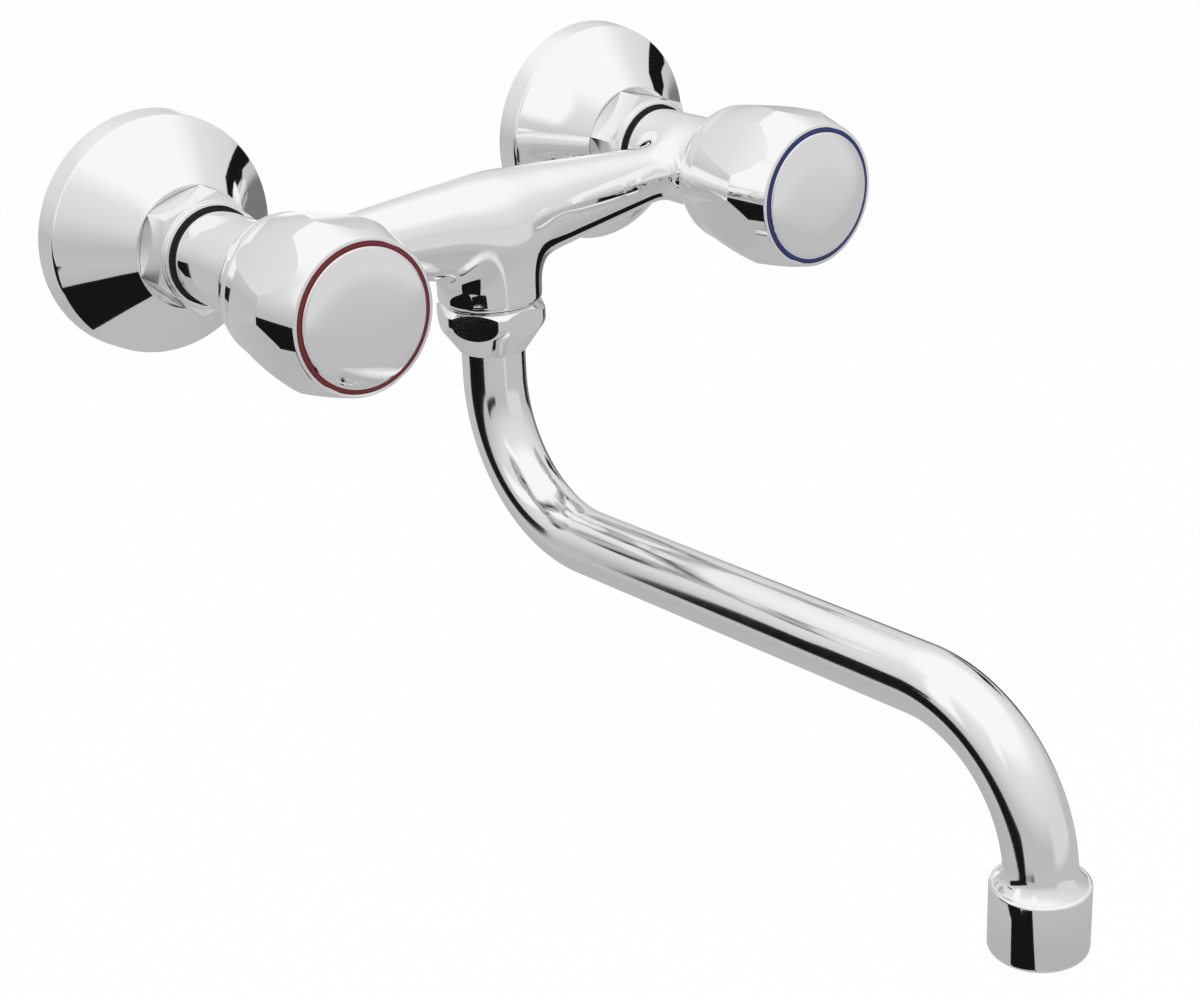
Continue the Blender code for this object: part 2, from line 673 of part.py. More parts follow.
def build_handle(side, axis):
    """Conical knob with six crowned flats, a domed back and a front pocket."""
    ledge = KNOB_FRONT - KNOB_RECESS
    boss_rear = BONNET_END + BOSS_GAP
    profile = [(0.0, WEB_FRONT), (KNOB_POCKET_R, WEB_FRONT),
               (KNOB_POCKET_R, ledge), (KNOB_RING_R, ledge),
               (KNOB_RING_R, KNOB_FRONT), (KNOB_FRONT_R - 0.0004, KNOB_FRONT),
               (KNOB_FRONT_R, KNOB_FRONT - 0.0004),
               (KNOB_WIDE_R, KNOB_WIDE)]
    profile += knob_dome()
    profile += [(KNOB_CAVITY_R, KNOB_REAR), (KNOB_CAVITY_R, WEB_REAR),
                (KNOB_BOSS_R, WEB_REAR), (KNOB_BOSS_R, boss_rear),
                (0.0, boss_rear)]
    handle = turned(f"{side}_handle", profile, axis,
                    chrome(f"{side}_handle_chrome"), ROUND, turn=FLAT_TURN)
    combine(handle, flats_barrel(side, axis), "INTERSECT")
    wide = SPINDLE_SQUARE + 2 * GAP
    depth = 2 * (WEB_FRONT - boss_rear)
    square = box_cutter(f"{side}_handle_square", (wide, wide, depth), axis,
                        (0.0, 0.0, (WEB_FRONT + boss_rear) / 2), FLAT_TURN)
    combine(handle, square, "DIFFERENCE")
    return freeze(handle, 14.0)


def build_handle_screw(side, axis):
    """Cross-head screw that holds the handle on the spindle."""
    rear = WEB_FRONT + GAP
    top = rear + SCREW_HEAD
    end = SPINDLE_END - SCREW_REACH
    profile = [(0.0, top), (0.58 * SCREW_HEAD_R, top - 0.0002),
               (0.83 * SCREW_HEAD_R, top - 0.0010), (SCREW_HEAD_R, rear),
               (SCREW_R, rear), (SCREW_R, end), (0.0, end)]
    screw = turned(f"{side}_handle_screw", profile, axis,
                   chrome(f"{side}_screw_steel"))
    for k in range(2):
        slot = box_cutter(f"{side}_screw_slot_{k + 1}",
                          (SCREW_HEAD_R, 0.0011, SCREW_HEAD + 0.0002), axis,
                          (0.0, 0.0, top), k * math.pi / 2)
        combine(screw, slot, "DIFFERENCE")
    return freeze(screw)


def build_index_ring(side, axis, colour):
    """Coloured ring round the cap that tells hot from cold."""
    outer = KNOB_RING_R - 0.00015
    inner = outer - RING_W
    rear = KNOB_FRONT - KNOB_RECESS + GAP
    front = KNOB_FRONT + 0.0001
    profile = [(inner, front), (outer, front), (outer, rear), (inner, rear)]
    ring_mat = new_material(f"{side}_index_plastic", colour, 0.0, 0.25)
    return freeze(turned(f"{side}_index_ring", profile, axis, ring_mat,
                         ROUND, ring=True))


def build_handle_cap(side, axis):
    """Slightly domed disc with a snap skirt in the handle's pocket."""
    edge = KNOB_RING_R - RING_W - 2 * GAP
    rear = KNOB_FRONT - KNOB_RECESS + GAP
    skirt = KNOB_POCKET_R - GAP
    rim = KNOB_FRONT - 0.0001
    profile = [(edge * (k / 4), rim + CAP_CROWN * (1 - (k / 4) ** 2))
               for k in range(4)]
    profile += [(edge - 0.0006, rim + 0.0003), (edge, rim - 0.0003),
                (edge, rear), (skirt, rear), (skirt, rear - CAP_SKIRT),
                (skirt - CAP_WALL, rear - CAP_SKIRT),
                (skirt - CAP_WALL, rear + 0.0004), (0.0, rear + 0.0004)]
    return freeze(turned(f"{side}_handle_cap", profile, axis,
                         chrome(f"{side}_cap_chrome"), ROUND))


# ---------------------------------------------------------------- spout
def build_spout_nut():
    """Bell-shaped nut; six flats leave ovals on the bell and narrow ridges."""
    top = NECK_END - GAP
    end = SPOUT_NUT_END
    thread = NECK_THREAD_R + GAP
    pocket = SPLIT_RING_R + GAP
    floor = SPLIT_RING_Z - SPLIT_RING_T - GAP
    bell_r = SPOUT_NUT_R - TUBE_R - BELL_MOUTH
    bell_z = SPOUT_NUT_BELL - end - GAP
    bell = [(SPOUT_NUT_R - bell_r * (1 - math.cos(a)) ** 0.86,
             SPOUT_NUT_BELL - bell_z * math.sin(a))
            for a in np.radians(np.linspace(0.0, 90.0, 6))]
    profile = [(thread, top), (SPOUT_NUT_R - 0.0012, top),
               (SPOUT_NUT_R - 0.0003, top - 0.0006),
               (SPOUT_NUT_R, top - 0.0016)]
    profile += bell
    profile += [(TUBE_R + GAP, end), (TUBE_R + GAP, floor), (pocket, floor),
                (pocket, NECK_THREAD_END - GAP),
                (thread, NECK_THREAD_END - GAP)]
    nut = turned("spout_nut", profile, SPOUT_AXIS, chrome("spout_nut_chrome"),
                 ROUND, ring=True, turn=SPOUT_NUT_TURN)
    corner = SPOUT_NUT_ACROSS / math.sqrt(3)
    high, low = top + SPOUT_NUT_R, end - SPOUT_NUT_R
    prism = [(0.0, high), (corner, high), (corner, low), (0.0, low)]
    combine(nut, turned("spout_nut_hexagon", prism, SPOUT_AXIS, sides=6,
                        turn=SPOUT_NUT_TURN, cutter=True), "INTERSECT")
    return freeze(nut, 20.0)


def build_spout_seals():
    """Rubber lip seal, nylon slide ring and the split ring in the groove."""
    inner = TUBE_R + GAP
    outer = SEAL_POCKET_R - GAP
    top = SEAL_POCKET_TOP - GAP
    seal = [(inner + 0.0009, top), (outer, top), (outer, top - 0.0034),
            (inner, top - 0.0034), (inner, top - 0.0012)]
    seal = freeze(turned("spout_lip_seal", seal, SPOUT_AXIS,
                         rubber("lip_seal_rubber"), ring=True))
    top -= 0.0034 + GAP
    low = SPLIT_RING_Z + GAP
    slide = [(inner, top), (outer - 0.0004, top), (outer - 0.0004, low),
             (inner, low)]
    slide = freeze(turned("spout_slide_ring", slide, SPOUT_AXIS,
                          nylon("slide_ring_nylon"), ring=True))
    bore = TUBE_GROOVE_R + GAP
    low = SPLIT_RING_Z - SPLIT_RING_T
    split = [(bore, SPLIT_RING_Z), (SPLIT_RING_R, SPLIT_RING_Z),
             (SPLIT_RING_R, low), (bore, low)]
    split = turned("spout_split_ring", split, SPOUT_AXIS,
                   brass("split_ring_bronze"), ring=True)
    cut = box_cutter("split_ring_gap", (0.0030, 0.012, 0.004), SPOUT_AXIS,
                     (0.0, 0.0100, SPLIT_RING_Z))
    combine(split, cut, "DIFFERENCE")
    return seal, slide, freeze(split)


def spout_path():
    """Centre line and tube radius from the top end to the outlet thread.

    Each entry is (reach in front of the swivel axis, height, radius). The
    tube drops, turns a little past level, runs out slightly uphill and turns
    down again; its end opens like a trumpet over the last part of the bend.
    """
    turn = math.pi / 2 + SPOUT_RISE
    path = [(0.0, TUBE_TOP, TUBE_R), (0.0, BEND_START, TUBE_R)]
    for a in np.linspace(0.0, turn, 11)[1:]:
        path.append((BEND_R * (1 - math.cos(a)),
                     BEND_START - BEND_R * math.sin(a), TUBE_R))
    reach, height, _ = path[-1]
    reach += SPOUT_RUN * math.cos(SPOUT_RISE)
    height += SPOUT_RUN * math.sin(SPOUT_RISE)
    centre = (reach + BEND_R * math.sin(SPOUT_RISE),
              height - BEND_R * math.cos(SPOUT_RISE))
    flare = math.radians(17.0)
    for a in np.linspace(0.0, turn, 15):
        heading = math.pi / 2 + SPOUT_RISE - a
        grow = max(0.0, 1 - heading / flare)
        path.append((centre[0] + BEND_R * math.cos(heading),
                     centre[1] + BEND_R * math.sin(heading),
                     TUBE_R + (FLARE_R - TUBE_R) * grow ** 1.6))
    return path


def build_spout_tube(outlet_top):
    """Bent tube with a wall, flared outlet, outlet thread and ring groove."""
    path = spout_path()
    reach = path[-1][0]
    path[-1] = (reach, outlet_top + GAP, FLARE_R)
    path += [(reach, outlet_top, OUTLET_THREAD_R),
             (reach, outlet_top - OUTLET_THREAD, OUTLET_THREAD_R)]
    curve = bpy.data.curves.new("spout_line", "CURVE")
    curve.dimensions = "3D"
    curve.bevel_depth = TUBE_R
    curve.bevel_resolution = 4
    curve.use_fill_caps = False
    spline = curve.splines.new("POLY")
    spline.points.add(len(path) - 1)
    for point, (out, height, radius) in zip(spline.points, path):
        point.co = (0.0, -out, height, 1.0)
        point.radius = radius / TUBE_R
    line = bpy.data.objects.new("spout_line", curve)
    CUTTERS.objects.link(line)
    line.parent = SPOUT_AXIS
    bpy.context.view_layer.update()
    graph = bpy.context.evaluated_depsgraph_get()
    mesh = bpy.data.meshes.new_from_object(line.evaluated_get(graph))
    bpy.data.objects.remove(line, do_unlink=True)
    tube = new_object("spout_tube", mesh, SPOUT_AXIS, chrome("spout_chrome"))
    wall = tube.modifiers.new("Wall", "SOLIDIFY")
    wall.thickness = TUBE_WALL
    wall.offset = -1.0
    low = SPLIT_RING_Z - SPLIT_RING_T - GAP
    groove = [(TUBE_GROOVE_R, SPLIT_RING_Z + GAP), (0.0105, SPLIT_RING_Z + GAP),
              (0.0105, low), (TUBE_GROOVE_R, low)]
    combine(tube, turned("ring_groove", groove, SPOUT_AXIS, ring=True,
                         cutter=True), "DIFFERENCE")
    return freeze(tube, 32.0)


# ---------------------------------------------------------------- aerator
def honeycomb(pitch, rings):
    """Centres of a hexagonal field of cells with that many rings."""
    places = []
    for row in range(-rings, rings + 1):
        count = 2 * rings + 1 - abs(row)
        for place in range(count):
            places.append(((place - (count - 1) / 2) * pitch,
                           row * pitch * math.sqrt(3) / 2))
    return places


def build_aerator(axis):
    """Shell screwed over the outlet; heights are measured from its top."""
    bore = OUTLET_THREAD_R + GAP
    inner = INSERT_R + GAP
    lip = -AERATOR_H + AERATOR_LIP
    washer_top = -OUTLET_THREAD - GAP
    washer_low = washer_top - AERATOR_WASHER_T
    insert_top = washer_low - GAP
    rim = 0.0007
    profile = [(bore, 0.0), (AERATOR_R - rim, 0.0), (AERATOR_R, -rim)]
    profile += arc((AERATOR_R - 0.0016, -AERATOR_H + 0.0016), 0.0016, 0, -90, 4)
    profile += [(AERATOR_MOUTH_R, -AERATOR_H), (AERATOR_MOUTH_R, lip),
                (inner, lip), (inner, insert_top), (bore, insert_top)]
    shell = freeze(turned("aerator_shell", profile, axis,
                          chrome("aerator_chrome"), ROUND, ring=True), 35.0)
    washer = [(AERATOR_WASHER_R, washer_top), (OUTLET_THREAD_R, washer_top),
              (OUTLET_THREAD_R, washer_low), (AERATOR_WASHER_R, washer_low)]
    washer = freeze(turned("aerator_washer", washer, axis,
                           rubber("aerator_washer_rubber"), ring=True))
    low = lip + GAP
    disc = [(0.0, insert_top), (INSERT_R, insert_top), (INSERT_R, low),
            (0.0, low)]
    disc = turned("aerator_insert", disc, axis, nylon("insert_plastic"))
    combine(disc, cylinder_cutter("insert_cells", INSERT_HOLE / 2,
                                  2 * AERATOR_H, axis, (0.0, 0.0, low), sides=6,
                                  places=honeycomb(INSERT_HOLE + INSERT_WEB, 2)),
            "DIFFERENCE")
    return shell, washer, freeze(disc)


def build_side(side, axis, nut_turn, ring_colour):
    build_rosette(side, axis)
    build_eccentric_union(side, axis)
    build_inlet_washer(side, axis)
    build_inlet_nipple(side, axis)
    build_union_nut(side, axis, nut_turn)
    build_bonnet(side, axis)
    build_bonnet_seal(side, axis)
    build_spindle(side, axis)
    build_spindle_oring(side, axis)
    build_plunger(side, axis)
    build_valve_washer(side, axis)
    build_handle(side, axis)
    build_handle_screw(side, axis)
    build_index_ring(side, axis, ring_colour)
    build_handle_cap(side, axis)


HOT_AXIS = new_empty("hot_valve_axis", (-INLET_SPACING / 2, 0.0, 0.0), True)
COLD_AXIS = new_empty("cold_valve_axis", (INLET_SPACING / 2, 0.0, 0.0), True)
SPOUT_AXIS = new_empty("spout_axis", (0.0, -BODY_DEPTH, 0.0))

build_side("hot", HOT_AXIS, HOT_NUT_TURN, (0.30, 0.02, 0.03))
build_side("cold", COLD_AXIS, COLD_NUT_TURN, (0.03, 0.04, 0.18))
build_mixer_body()
build_spout_nut()
build_spout_seals()

OUTLET = spout_path()[-1]
OUTLET_AXIS = new_empty("outlet_axis", (0.0, -BODY_DEPTH - OUTLET[0], OUTLET[1]))
build_spout_tube(OUTLET[1])
build_aerator(OUTLET_AXIS)
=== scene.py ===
"""Dresses the wall mixer tap for a studio picture.

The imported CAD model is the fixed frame. Every chrome piece that shows is
modelled again here in full detail, the hidden pieces get real finishes, and a
plain white stage with dark flags and pale panels stands round the tap.
"""

import json
import math

import bpy
import numpy as np
from bpy.props import FloatProperty, FloatVectorProperty, IntProperty, PointerProperty
from mathutils import Matrix, Vector


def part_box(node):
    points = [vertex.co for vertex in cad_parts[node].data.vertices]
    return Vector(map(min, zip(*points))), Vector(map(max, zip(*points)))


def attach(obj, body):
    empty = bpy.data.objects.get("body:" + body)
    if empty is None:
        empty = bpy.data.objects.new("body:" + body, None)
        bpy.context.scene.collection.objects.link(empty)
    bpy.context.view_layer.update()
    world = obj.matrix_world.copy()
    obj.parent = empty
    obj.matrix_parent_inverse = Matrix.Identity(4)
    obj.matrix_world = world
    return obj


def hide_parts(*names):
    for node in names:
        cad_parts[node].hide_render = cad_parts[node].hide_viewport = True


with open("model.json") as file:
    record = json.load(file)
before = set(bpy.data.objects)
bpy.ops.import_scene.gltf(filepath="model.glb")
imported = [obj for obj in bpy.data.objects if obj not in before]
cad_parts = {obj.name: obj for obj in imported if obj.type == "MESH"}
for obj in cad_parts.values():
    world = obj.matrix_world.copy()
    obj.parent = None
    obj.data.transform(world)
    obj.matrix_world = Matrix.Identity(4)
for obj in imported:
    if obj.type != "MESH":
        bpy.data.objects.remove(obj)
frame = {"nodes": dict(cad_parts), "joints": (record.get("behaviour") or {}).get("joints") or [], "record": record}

bl_info = {
    "name": "Wall mixer tap",
    "version": (1, 0, 0),
    "blender": (4, 5, 0),
    "location": "3D View > Sidebar > Tap",
    "description": "Models and finishes a two-handle wall mixer tap round its CAD frame",
    "category": "Object",
}

JOINT = {j["name"]: j for j in frame["joints"]}
HOT_X = JOINT["hot_handle_turn"]["pos_m"][0]
COLD_X = JOINT["cold_handle_turn"]["pos_m"][0]
BODY_Y = JOINT["spout_swivel"]["pos_m"][1]
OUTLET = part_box("aerator_shell")
OUTLET_Y = (OUTLET[0].y + OUTLET[1].y) / 2

# The camera of the picture, in metres and degrees, and in pixels of its frame.
PICTURE_WIDTH, PICTURE_HEIGHT = 1200, 1000
FOCAL_PIXELS = 2467.73
MIDDLE_PIXEL = (727.89, 565.17)
CAMERA_PLACE = (-0.380312, -0.591360, 0.191183)
CAMERA_AZIMUTH, CAMERA_ELEVATION, CAMERA_ROLL = -40.704, 24.469, -1.222
SENSOR_WIDTH = 36.0


# ------------------------------------------------------------------ settings
def size(name, millimetres, description):
    return FloatProperty(name=name, description=description, precision=5,
                         default=millimetres / 1000, subtype="DISTANCE",
                         unit="LENGTH")


def turn_of(name, degrees, description):
    return FloatProperty(name=name, description=description, subtype="ANGLE",
                         unit="ROTATION", default=math.radians(degrees))


def paint(code):
    """An sRGB hex value as linear red, green, blue."""
    values = [int(code[k:k + 2], 16) / 255 for k in (0, 2, 4)]
    return [v / 12.92 if v <= 0.04045 else ((v + 0.055) / 1.055) ** 2.4
            for v in values]


def colour(name, code, description):
    return FloatVectorProperty(name=name, description=description, size=3,
                               default=paint(code), subtype="COLOR",
                               min=0.0, max=1.0)


class WallEndSizes(bpy.types.PropertyGroup):
    cover_radius: size("Cover radius", 33.05, "Outer radius of the wall cover")
    cover_height: size("Cover height", 22.4, "Wall to the top of the cover")
    cover_rim: size("Cover rim", 6.8, "Height of the cover's upright rim")
    cover_top: size("Cover top", 16.68, "Radius of the cover round the nut")
    nut_rear: size("Nut rear", 20.3, "Wall to the rear of the union nut")
    nut_across: size("Nut across flats", 29.0, "Width of the union nut")
    nut_lip: size("Nut lip", 14.3, "Radius of the round lip in front of the nut")
    hot_turn: turn_of("Hot nut turn", 16.6, "How far the hot nut is done up")
    cold_turn: turn_of("Cold nut turn", 43.4, "How far the cold nut is done up")
    tail: size("Tail radius", 10.4, "Outer radius of the 1/2 inch pipe thread")
    thread_pitch: size("Thread pitch", 1.814, "Pitch of the 1/2 inch pipe thread")
    crank: size("Crank", 6.0, "How far the tail stands above the tap's inlet")


class BodySizes(bpy.types.PropertyGroup):
    barrel: size("Barrel radius", 12.5, "Radius of the valve barrels")
    middle: size("Bar middle", 13.4, "Radius of the bar over the spout")
    end: size("Bar end", 6.0, "Radius the bar would reach at a valve")
    neck: size("Neck radius", 14.6, "Radius of the neck over the spout nut")
    fillet: size("Fillet", 10.0, "Blend width between bar, neck and barrels")
    rear: size("Barrel rear", 34.5, "Wall to the rear of the barrels")
    front: size("Barrel front", 62.0, "Wall to the front of the barrels")
    flare: size("Barrel flare", 0.6, "How much wider a barrel is in front")
    foot: size("Neck foot", -24.9, "Lower end of the neck over the inlets")
    grain: size("Mesh size", 0.9, "Mesh size of the cast body")


class HandleSizes(bpy.types.PropertyGroup):
    wide: size("Widest radius", 23.0, "Radius of the handle at its widest edge")
    front: size("Front radius", 20.0, "Radius of the handle's front edge")
    flat: size("Flat distance", 21.43, "Axis to the highest point of a flat")
    crown: size("Crown", 100.0, "Radius of a flat along the handle")
    flats: IntProperty(name="Flats", description="Number of flats", default=6)
    turn: turn_of("Ridge turn", 49.0, "Direction of the first ridge")
    proud: size("Cap step", 1.3, "How far the cap stands out of the handle")


class SpoutSizes(bpy.types.PropertyGroup):
    radius: size("Tube radius", 9.0, "Outer radius of the spout tube")
    bend: size("Bend radius", 38.7, "Radius of both bends on the centre line")
    run: size("Run", 129.5, "Length of the straight between the bends")
    rise: turn_of("Rise", 2.5, "How far the straight rises from level")
    flare: size("Flare radius", 11.3, "Radius of the flared end")
    nut: size("Nut radius", 15.6, "Outer radius of the spout nut")
    nut_across: size("Nut across flats", 28.2, "Width of the spout nut")
    nut_turn: turn_of("Nut turn", 6.0, "How far the spout nut is done up")
    outlet: size("Outlet radius", 12.35, "Radius of the outlet shell")
    outlet_height: size("Outlet height", 18.3, "Height of the outlet shell")


class Finishes(bpy.types.PropertyGroup):
    chrome: colour("Chrome", "f7f7f7", "Polished chrome plating")
    brass: colour("Brass", "d2ad63", "Turned brass of the hidden pieces")
    bronze: colour("Bronze", "a9773f", "Bronze of the split ring")
    steel: colour("Steel", "c4c3c0", "Stainless steel of the screws")
    rubber: colour("Rubber", "1d1d1e", "Washers, rings and lip seal")
    nylon: colour("Nylon", "e6e4dc", "Slide ring and outlet insert")
    hot: colour("Hot ring", "6b101c", "Ring on the hot handle")
    cold: colour("Cold ring", "1c2766", "Ring on the cold handle")


class StageSettings(bpy.types.PropertyGroup):
    floor: colour("Floor", "f4f4f4", "Colour of the floor")
    floor_drop: size("Floor drop", 260.0, "Floor below the inlet height")
    light: FloatProperty(name="Light", description="Power of the main softbox",
                         default=9.0, min=0.0, subtype="POWER", unit="POWER")


# ------------------------------------------------------------------ modelling
def start(name, operator, **options):
    """Adds a primitive on its own and goes into edit mode."""
    bpy.ops.object.select_all(action="DESELECT")
    operator(**options)
    obj = bpy.context.object
    obj.name = obj.data.name = name
    bpy.ops.object.transform_apply(location=True, rotation=True, scale=True)
    bpy.ops.object.mode_set(mode="EDIT")
    bpy.ops.mesh.select_all(action="SELECT")
    return obj


def close(obj, degrees=35.0):
    """Merges doubles, turns the faces outwards and leaves edit mode."""
    bpy.ops.mesh.select_all(action="SELECT")
    bpy.ops.mesh.remove_doubles(threshold=2e-6)
    bpy.ops.mesh.normals_make_consistent(inside=False)
    bpy.ops.object.mode_set(mode="OBJECT")
    bpy.ops.object.shade_smooth_by_angle(angle=math.radians(degrees))
    return obj


def apply(obj, kind, **settings):
    """Adds a modifier and applies it."""
    bpy.ops.object.select_all(action="DESELECT")
    obj.select_set(True)
    bpy.context.view_layer.objects.active = obj
    modifier = obj.modifiers.new(kind.title(), kind)
    for key, value in settings.items():
        setattr(modifier, key, value)
    bpy.ops.object.modifier_apply(modifier=modifier.name)
    return obj


def rounded(points, closed=False, steps=6):
    """A profile of (radius, depth, fillet) corners with its corners filleted."""
    flat = [Vector((p[0], p[1])) for p in points]
    fillets = [p[2] if len(p) > 2 else 0.0 for p in points]
    count, out = len(flat), []
    for k, corner in enumerate(flat):
        fillet = fillets[k]
        if not fillet or (not closed and k in (0, count - 1)):
            out.append(corner)
            continue
        back = (flat[k - 1] - corner).normalized()
        ahead = (flat[(k + 1) % count] - corner).normalized()
        half = math.acos(max(-1.0, min(1.0, back.dot(ahead)))) / 2
        reach = fillet / math.tan(half)
        centre = corner + (back + ahead).normalized() * (fillet / math.sin(half))
        first, last = corner + back * reach - centre, corner + ahead * reach - centre
        sweep = first.angle_signed(last)
        for n in range(steps + 1):
            out.append(centre + Matrix.Rotation(-sweep * n / steps, 2) @ first)
    return out


def densified(points, spacing):
    """The same profile with no step longer than the spacing."""
    out = [points[0]]
    for a, b in zip(points, points[1:]):
        steps = max(1, math.ceil((b - a).length / spacing))
        out += [a.lerp(b, n / steps) for n in range(1, steps + 1)]
    return out


def lathe(name, profile, at, upright=False, sides=128, closed=False):
    """Draws a profile of (radius, depth) and spins it about its axis.

    Depth is measured out of the wall, or upwards when upright. A closed
    profile is a ring; an open one starts and ends on the axis.
    """
    def place(p):
        if upright:
            return Vector((at[0] + p[0], at[1], p[1]))
        return Vector((at[0] + p[0], -p[1], 0.0))

    obj = start(name, bpy.ops.mesh.primitive_plane_add, size=0.001)
    bpy.ops.mesh.merge(type="CENTER")
    places = [place(p) for p in profile]
    bpy.ops.transform.translate(value=places[0])
    for a, b in zip(places, places[1:]):
        bpy.ops.mesh.extrude_region_move(TRANSFORM_OT_translate={"value": b - a})
    bpy.ops.mesh.select_all(action="SELECT")
    if closed:
        bpy.ops.object.mode_set(mode="OBJECT")
        bpy.ops.object.mode_set(mode="EDIT")
        bpy.ops.mesh.select_all(action="DESELECT")
        select_points(obj, lambda c: (c - places[0]).length < 1e-7
                      or (c - places[-1]).length < 1e-7)
        bpy.ops.mesh.edge_face_add()
        bpy.ops.mesh.select_all(action="SELECT")
    bpy.ops.mesh.spin(steps=sides, angle=2 * math.pi, center=(at[0], at[1], 0.0),
                      axis=(0.0, 0.0, 1.0) if upright else (0.0, 1.0, 0.0))
    return close(obj)


def copied(obj, name, shift):
    """A copy of a piece with its own mesh, moved in its mesh."""
    bpy.ops.object.select_all(action="DESELECT")
    obj.select_set(True)
    bpy.context.view_layer.objects.active = obj
    bpy.ops.object.duplicate(linked=False)
    twin = bpy.context.object
    twin.name = twin.data.name = name
    bpy.ops.object.mode_set(mode="EDIT")
    bpy.ops.mesh.select_all(action="SELECT")
    bpy.ops.transform.translate(value=shift)
    bpy.ops.object.mode_set(mode="OBJECT")
    return twin


def rim(obj, at, loops, upright=False):
    """Carries an open edge on through loops of (radius, depth) and closes it."""
    radius, depth = loops[0]
    select_points(obj, lambda c: abs((c.z if upright else -c.y) - depth) < 1e-6
                  and abs(c.x - at[0]) < 2 * radius)
    for (r0, d0), (r1, d1) in zip(loops, loops[1:]):
        step = (0, 0, d1 - d0) if upright else (0, d0 - d1, 0)
        bpy.ops.mesh.extrude_region_move(TRANSFORM_OT_translate={"value": step})
        k = r1 / r0
        centre = (at[0], at[1], d1) if upright else (at[0], -d1, 0.0)
        bpy.ops.transform.resize(value=(k, k, 1) if upright else (k, 1, k),
                                 center_override=centre)
    bpy.ops.mesh.edge_face_add()


def select_points(obj, wanted):
    """Selects in edit mode the vertices whose place passes the test."""
    bpy.ops.object.mode_set(mode="OBJECT")
    for vertex in obj.data.vertices:
        vertex.select = bool(wanted(vertex.co))
    for edge in obj.data.edges:
        edge.select = all(obj.data.vertices[v].select for v in edge.vertices)
    for face in obj.data.polygons:
        face.select = all(obj.data.vertices[v].select for v in face.vertices)
    bpy.ops.object.mode_set(mode="EDIT")


def points_of(obj):
    points = np.empty(len(obj.data.vertices) * 3)
    obj.data.vertices.foreach_get("co", points)
    return points.reshape(-1, 3)


def set_points(obj, points):
    obj.data.vertices.foreach_set("co", points.astype(np.float32).ravel())
    obj.data.update()


def smooth_min(a, b, width):
    """Minimum of two values with a rounded transition of that width."""
    h = np.maximum(width - np.abs(a - b), 0.0) / width
    return np.minimum(a, b) - h ** 3 * width / 6


def eased(value, low, high):
    """0 below low, 1 above high, and a smooth step between them."""
    t = np.clip((value - low) / (high - low), 0.0, 1.0)
    return t ** 2 * (3 - 2 * t)


def cut_flats(obj, at, turn, distance, upright=False):
    """Saws six flats at a distance from the axis and closes the cuts."""
    bpy.ops.object.select_all(action="DESELECT")
    obj.select_set(True)
    bpy.context.view_layer.objects.active = obj
    bpy.ops.object.mode_set(mode="EDIT")
    for k in range(6):
        angle = turn + math.radians(30 + 60 * k)
        across, along = math.cos(angle), math.sin(angle)
        out = Vector((across, along, 0) if upright else (across, 0, along))
        middle = Vector((at[0], at[1], 0.0)) + out * distance
        bpy.ops.mesh.select_all(action="SELECT")
        bpy.ops.mesh.bisect(plane_co=middle, plane_no=out, clear_outer=True,
                            use_fill=True, threshold=1e-7)
    return close(obj, 14.0)


# ------------------------------------------------------------------ finishes
def add(tree, kind, values=None, joins=None, **settings):
    """Adds a node with its settings, input values and incoming links."""
    node = tree.nodes.new(kind)
    for key, value in settings.items():
        setattr(node, key, value)
    for key, value in (values or {}).items():
        node.inputs[key].default_value = value
    for key, socket in (joins or {}).items():
        tree.links.new(socket, node.inputs[key])
    return node


def new_finish(name, base, metallic, roughness):
    """A material with a Principled shader; returns it with its tree and shader."""
    material = bpy.data.materials.new(name)
    material.use_nodes = True
    shader = material.node_tree.nodes["Principled BSDF"]
    shader.inputs["Base Color"].default_value = (*base, 1.0)
    shader.inputs["Metallic"].default_value = metallic
    shader.inputs["Roughness"].default_value = roughness
    material.diffuse_color = (*base, 1.0)
    return material, material.node_tree, shader


def centred(tree, at):
    """Object coordinates measured from a point, in metres."""
    place = add(tree, "ShaderNodeTexCoord")
    return add(tree, "ShaderNodeMapping", {"Location": [-c for c in at]},
               {"Vector": place.outputs["Object"]}).outputs["Vector"]


def span(tree, socket, low, high):
    """A 0 to 1 value spread from low to high."""
    return add(tree, "ShaderNodeMapRange", {"To Min": low, "To Max": high},
               {"Value": socket}).outputs["Result"]


def bumped(tree, shader, height, distance, strength=1.0):
    bump = add(tree, "ShaderNodeBump", {"Distance": distance, "Strength": strength},
               {"Height": height})
    tree.links.new(bump.outputs["Normal"], shader.inputs["Normal"])


def polished_chrome(name, base, low, high):
    """Bright chrome on buffed brass: a mirror, with a faint buffing haze.

    Haze patches are some 12 mm wide. The hairlines of wiping are finer than
    a tenth of a millimetre and are drawn at 0.5 mm so that they show at all.
    """
    material, tree, shader = new_finish(name, base, 1.0, low)
    where = centred(tree, (0.0, 0.0, 0.0))
    haze = add(tree, "ShaderNodeTexNoise", {"Scale": 80.0, "Detail": 3.0},
               {"Vector": where})
    wiped = add(tree, "ShaderNodeMapping", {"Scale": (2.0, 0.25, 2.0),
                                            "Rotation": (0.3, 0.5, 0.2)},
                {"Vector": where})
    hair = add(tree, "ShaderNodeTexNoise", {"Scale": 1000.0, "Detail": 2.0},
               {"Vector": wiped.outputs["Vector"]})
    both = add(tree, "ShaderNodeMath", {1: 0.35},
               {0: hair.outputs["Fac"], 2: haze.outputs["Fac"]},
               operation="MULTIPLY_ADD")
    tree.links.new(span(tree, both.outputs["Value"], low, high),
                   shader.inputs["Roughness"])
    bumped(tree, shader, haze.outputs["Fac"], 0.00002, 0.35)
    return material


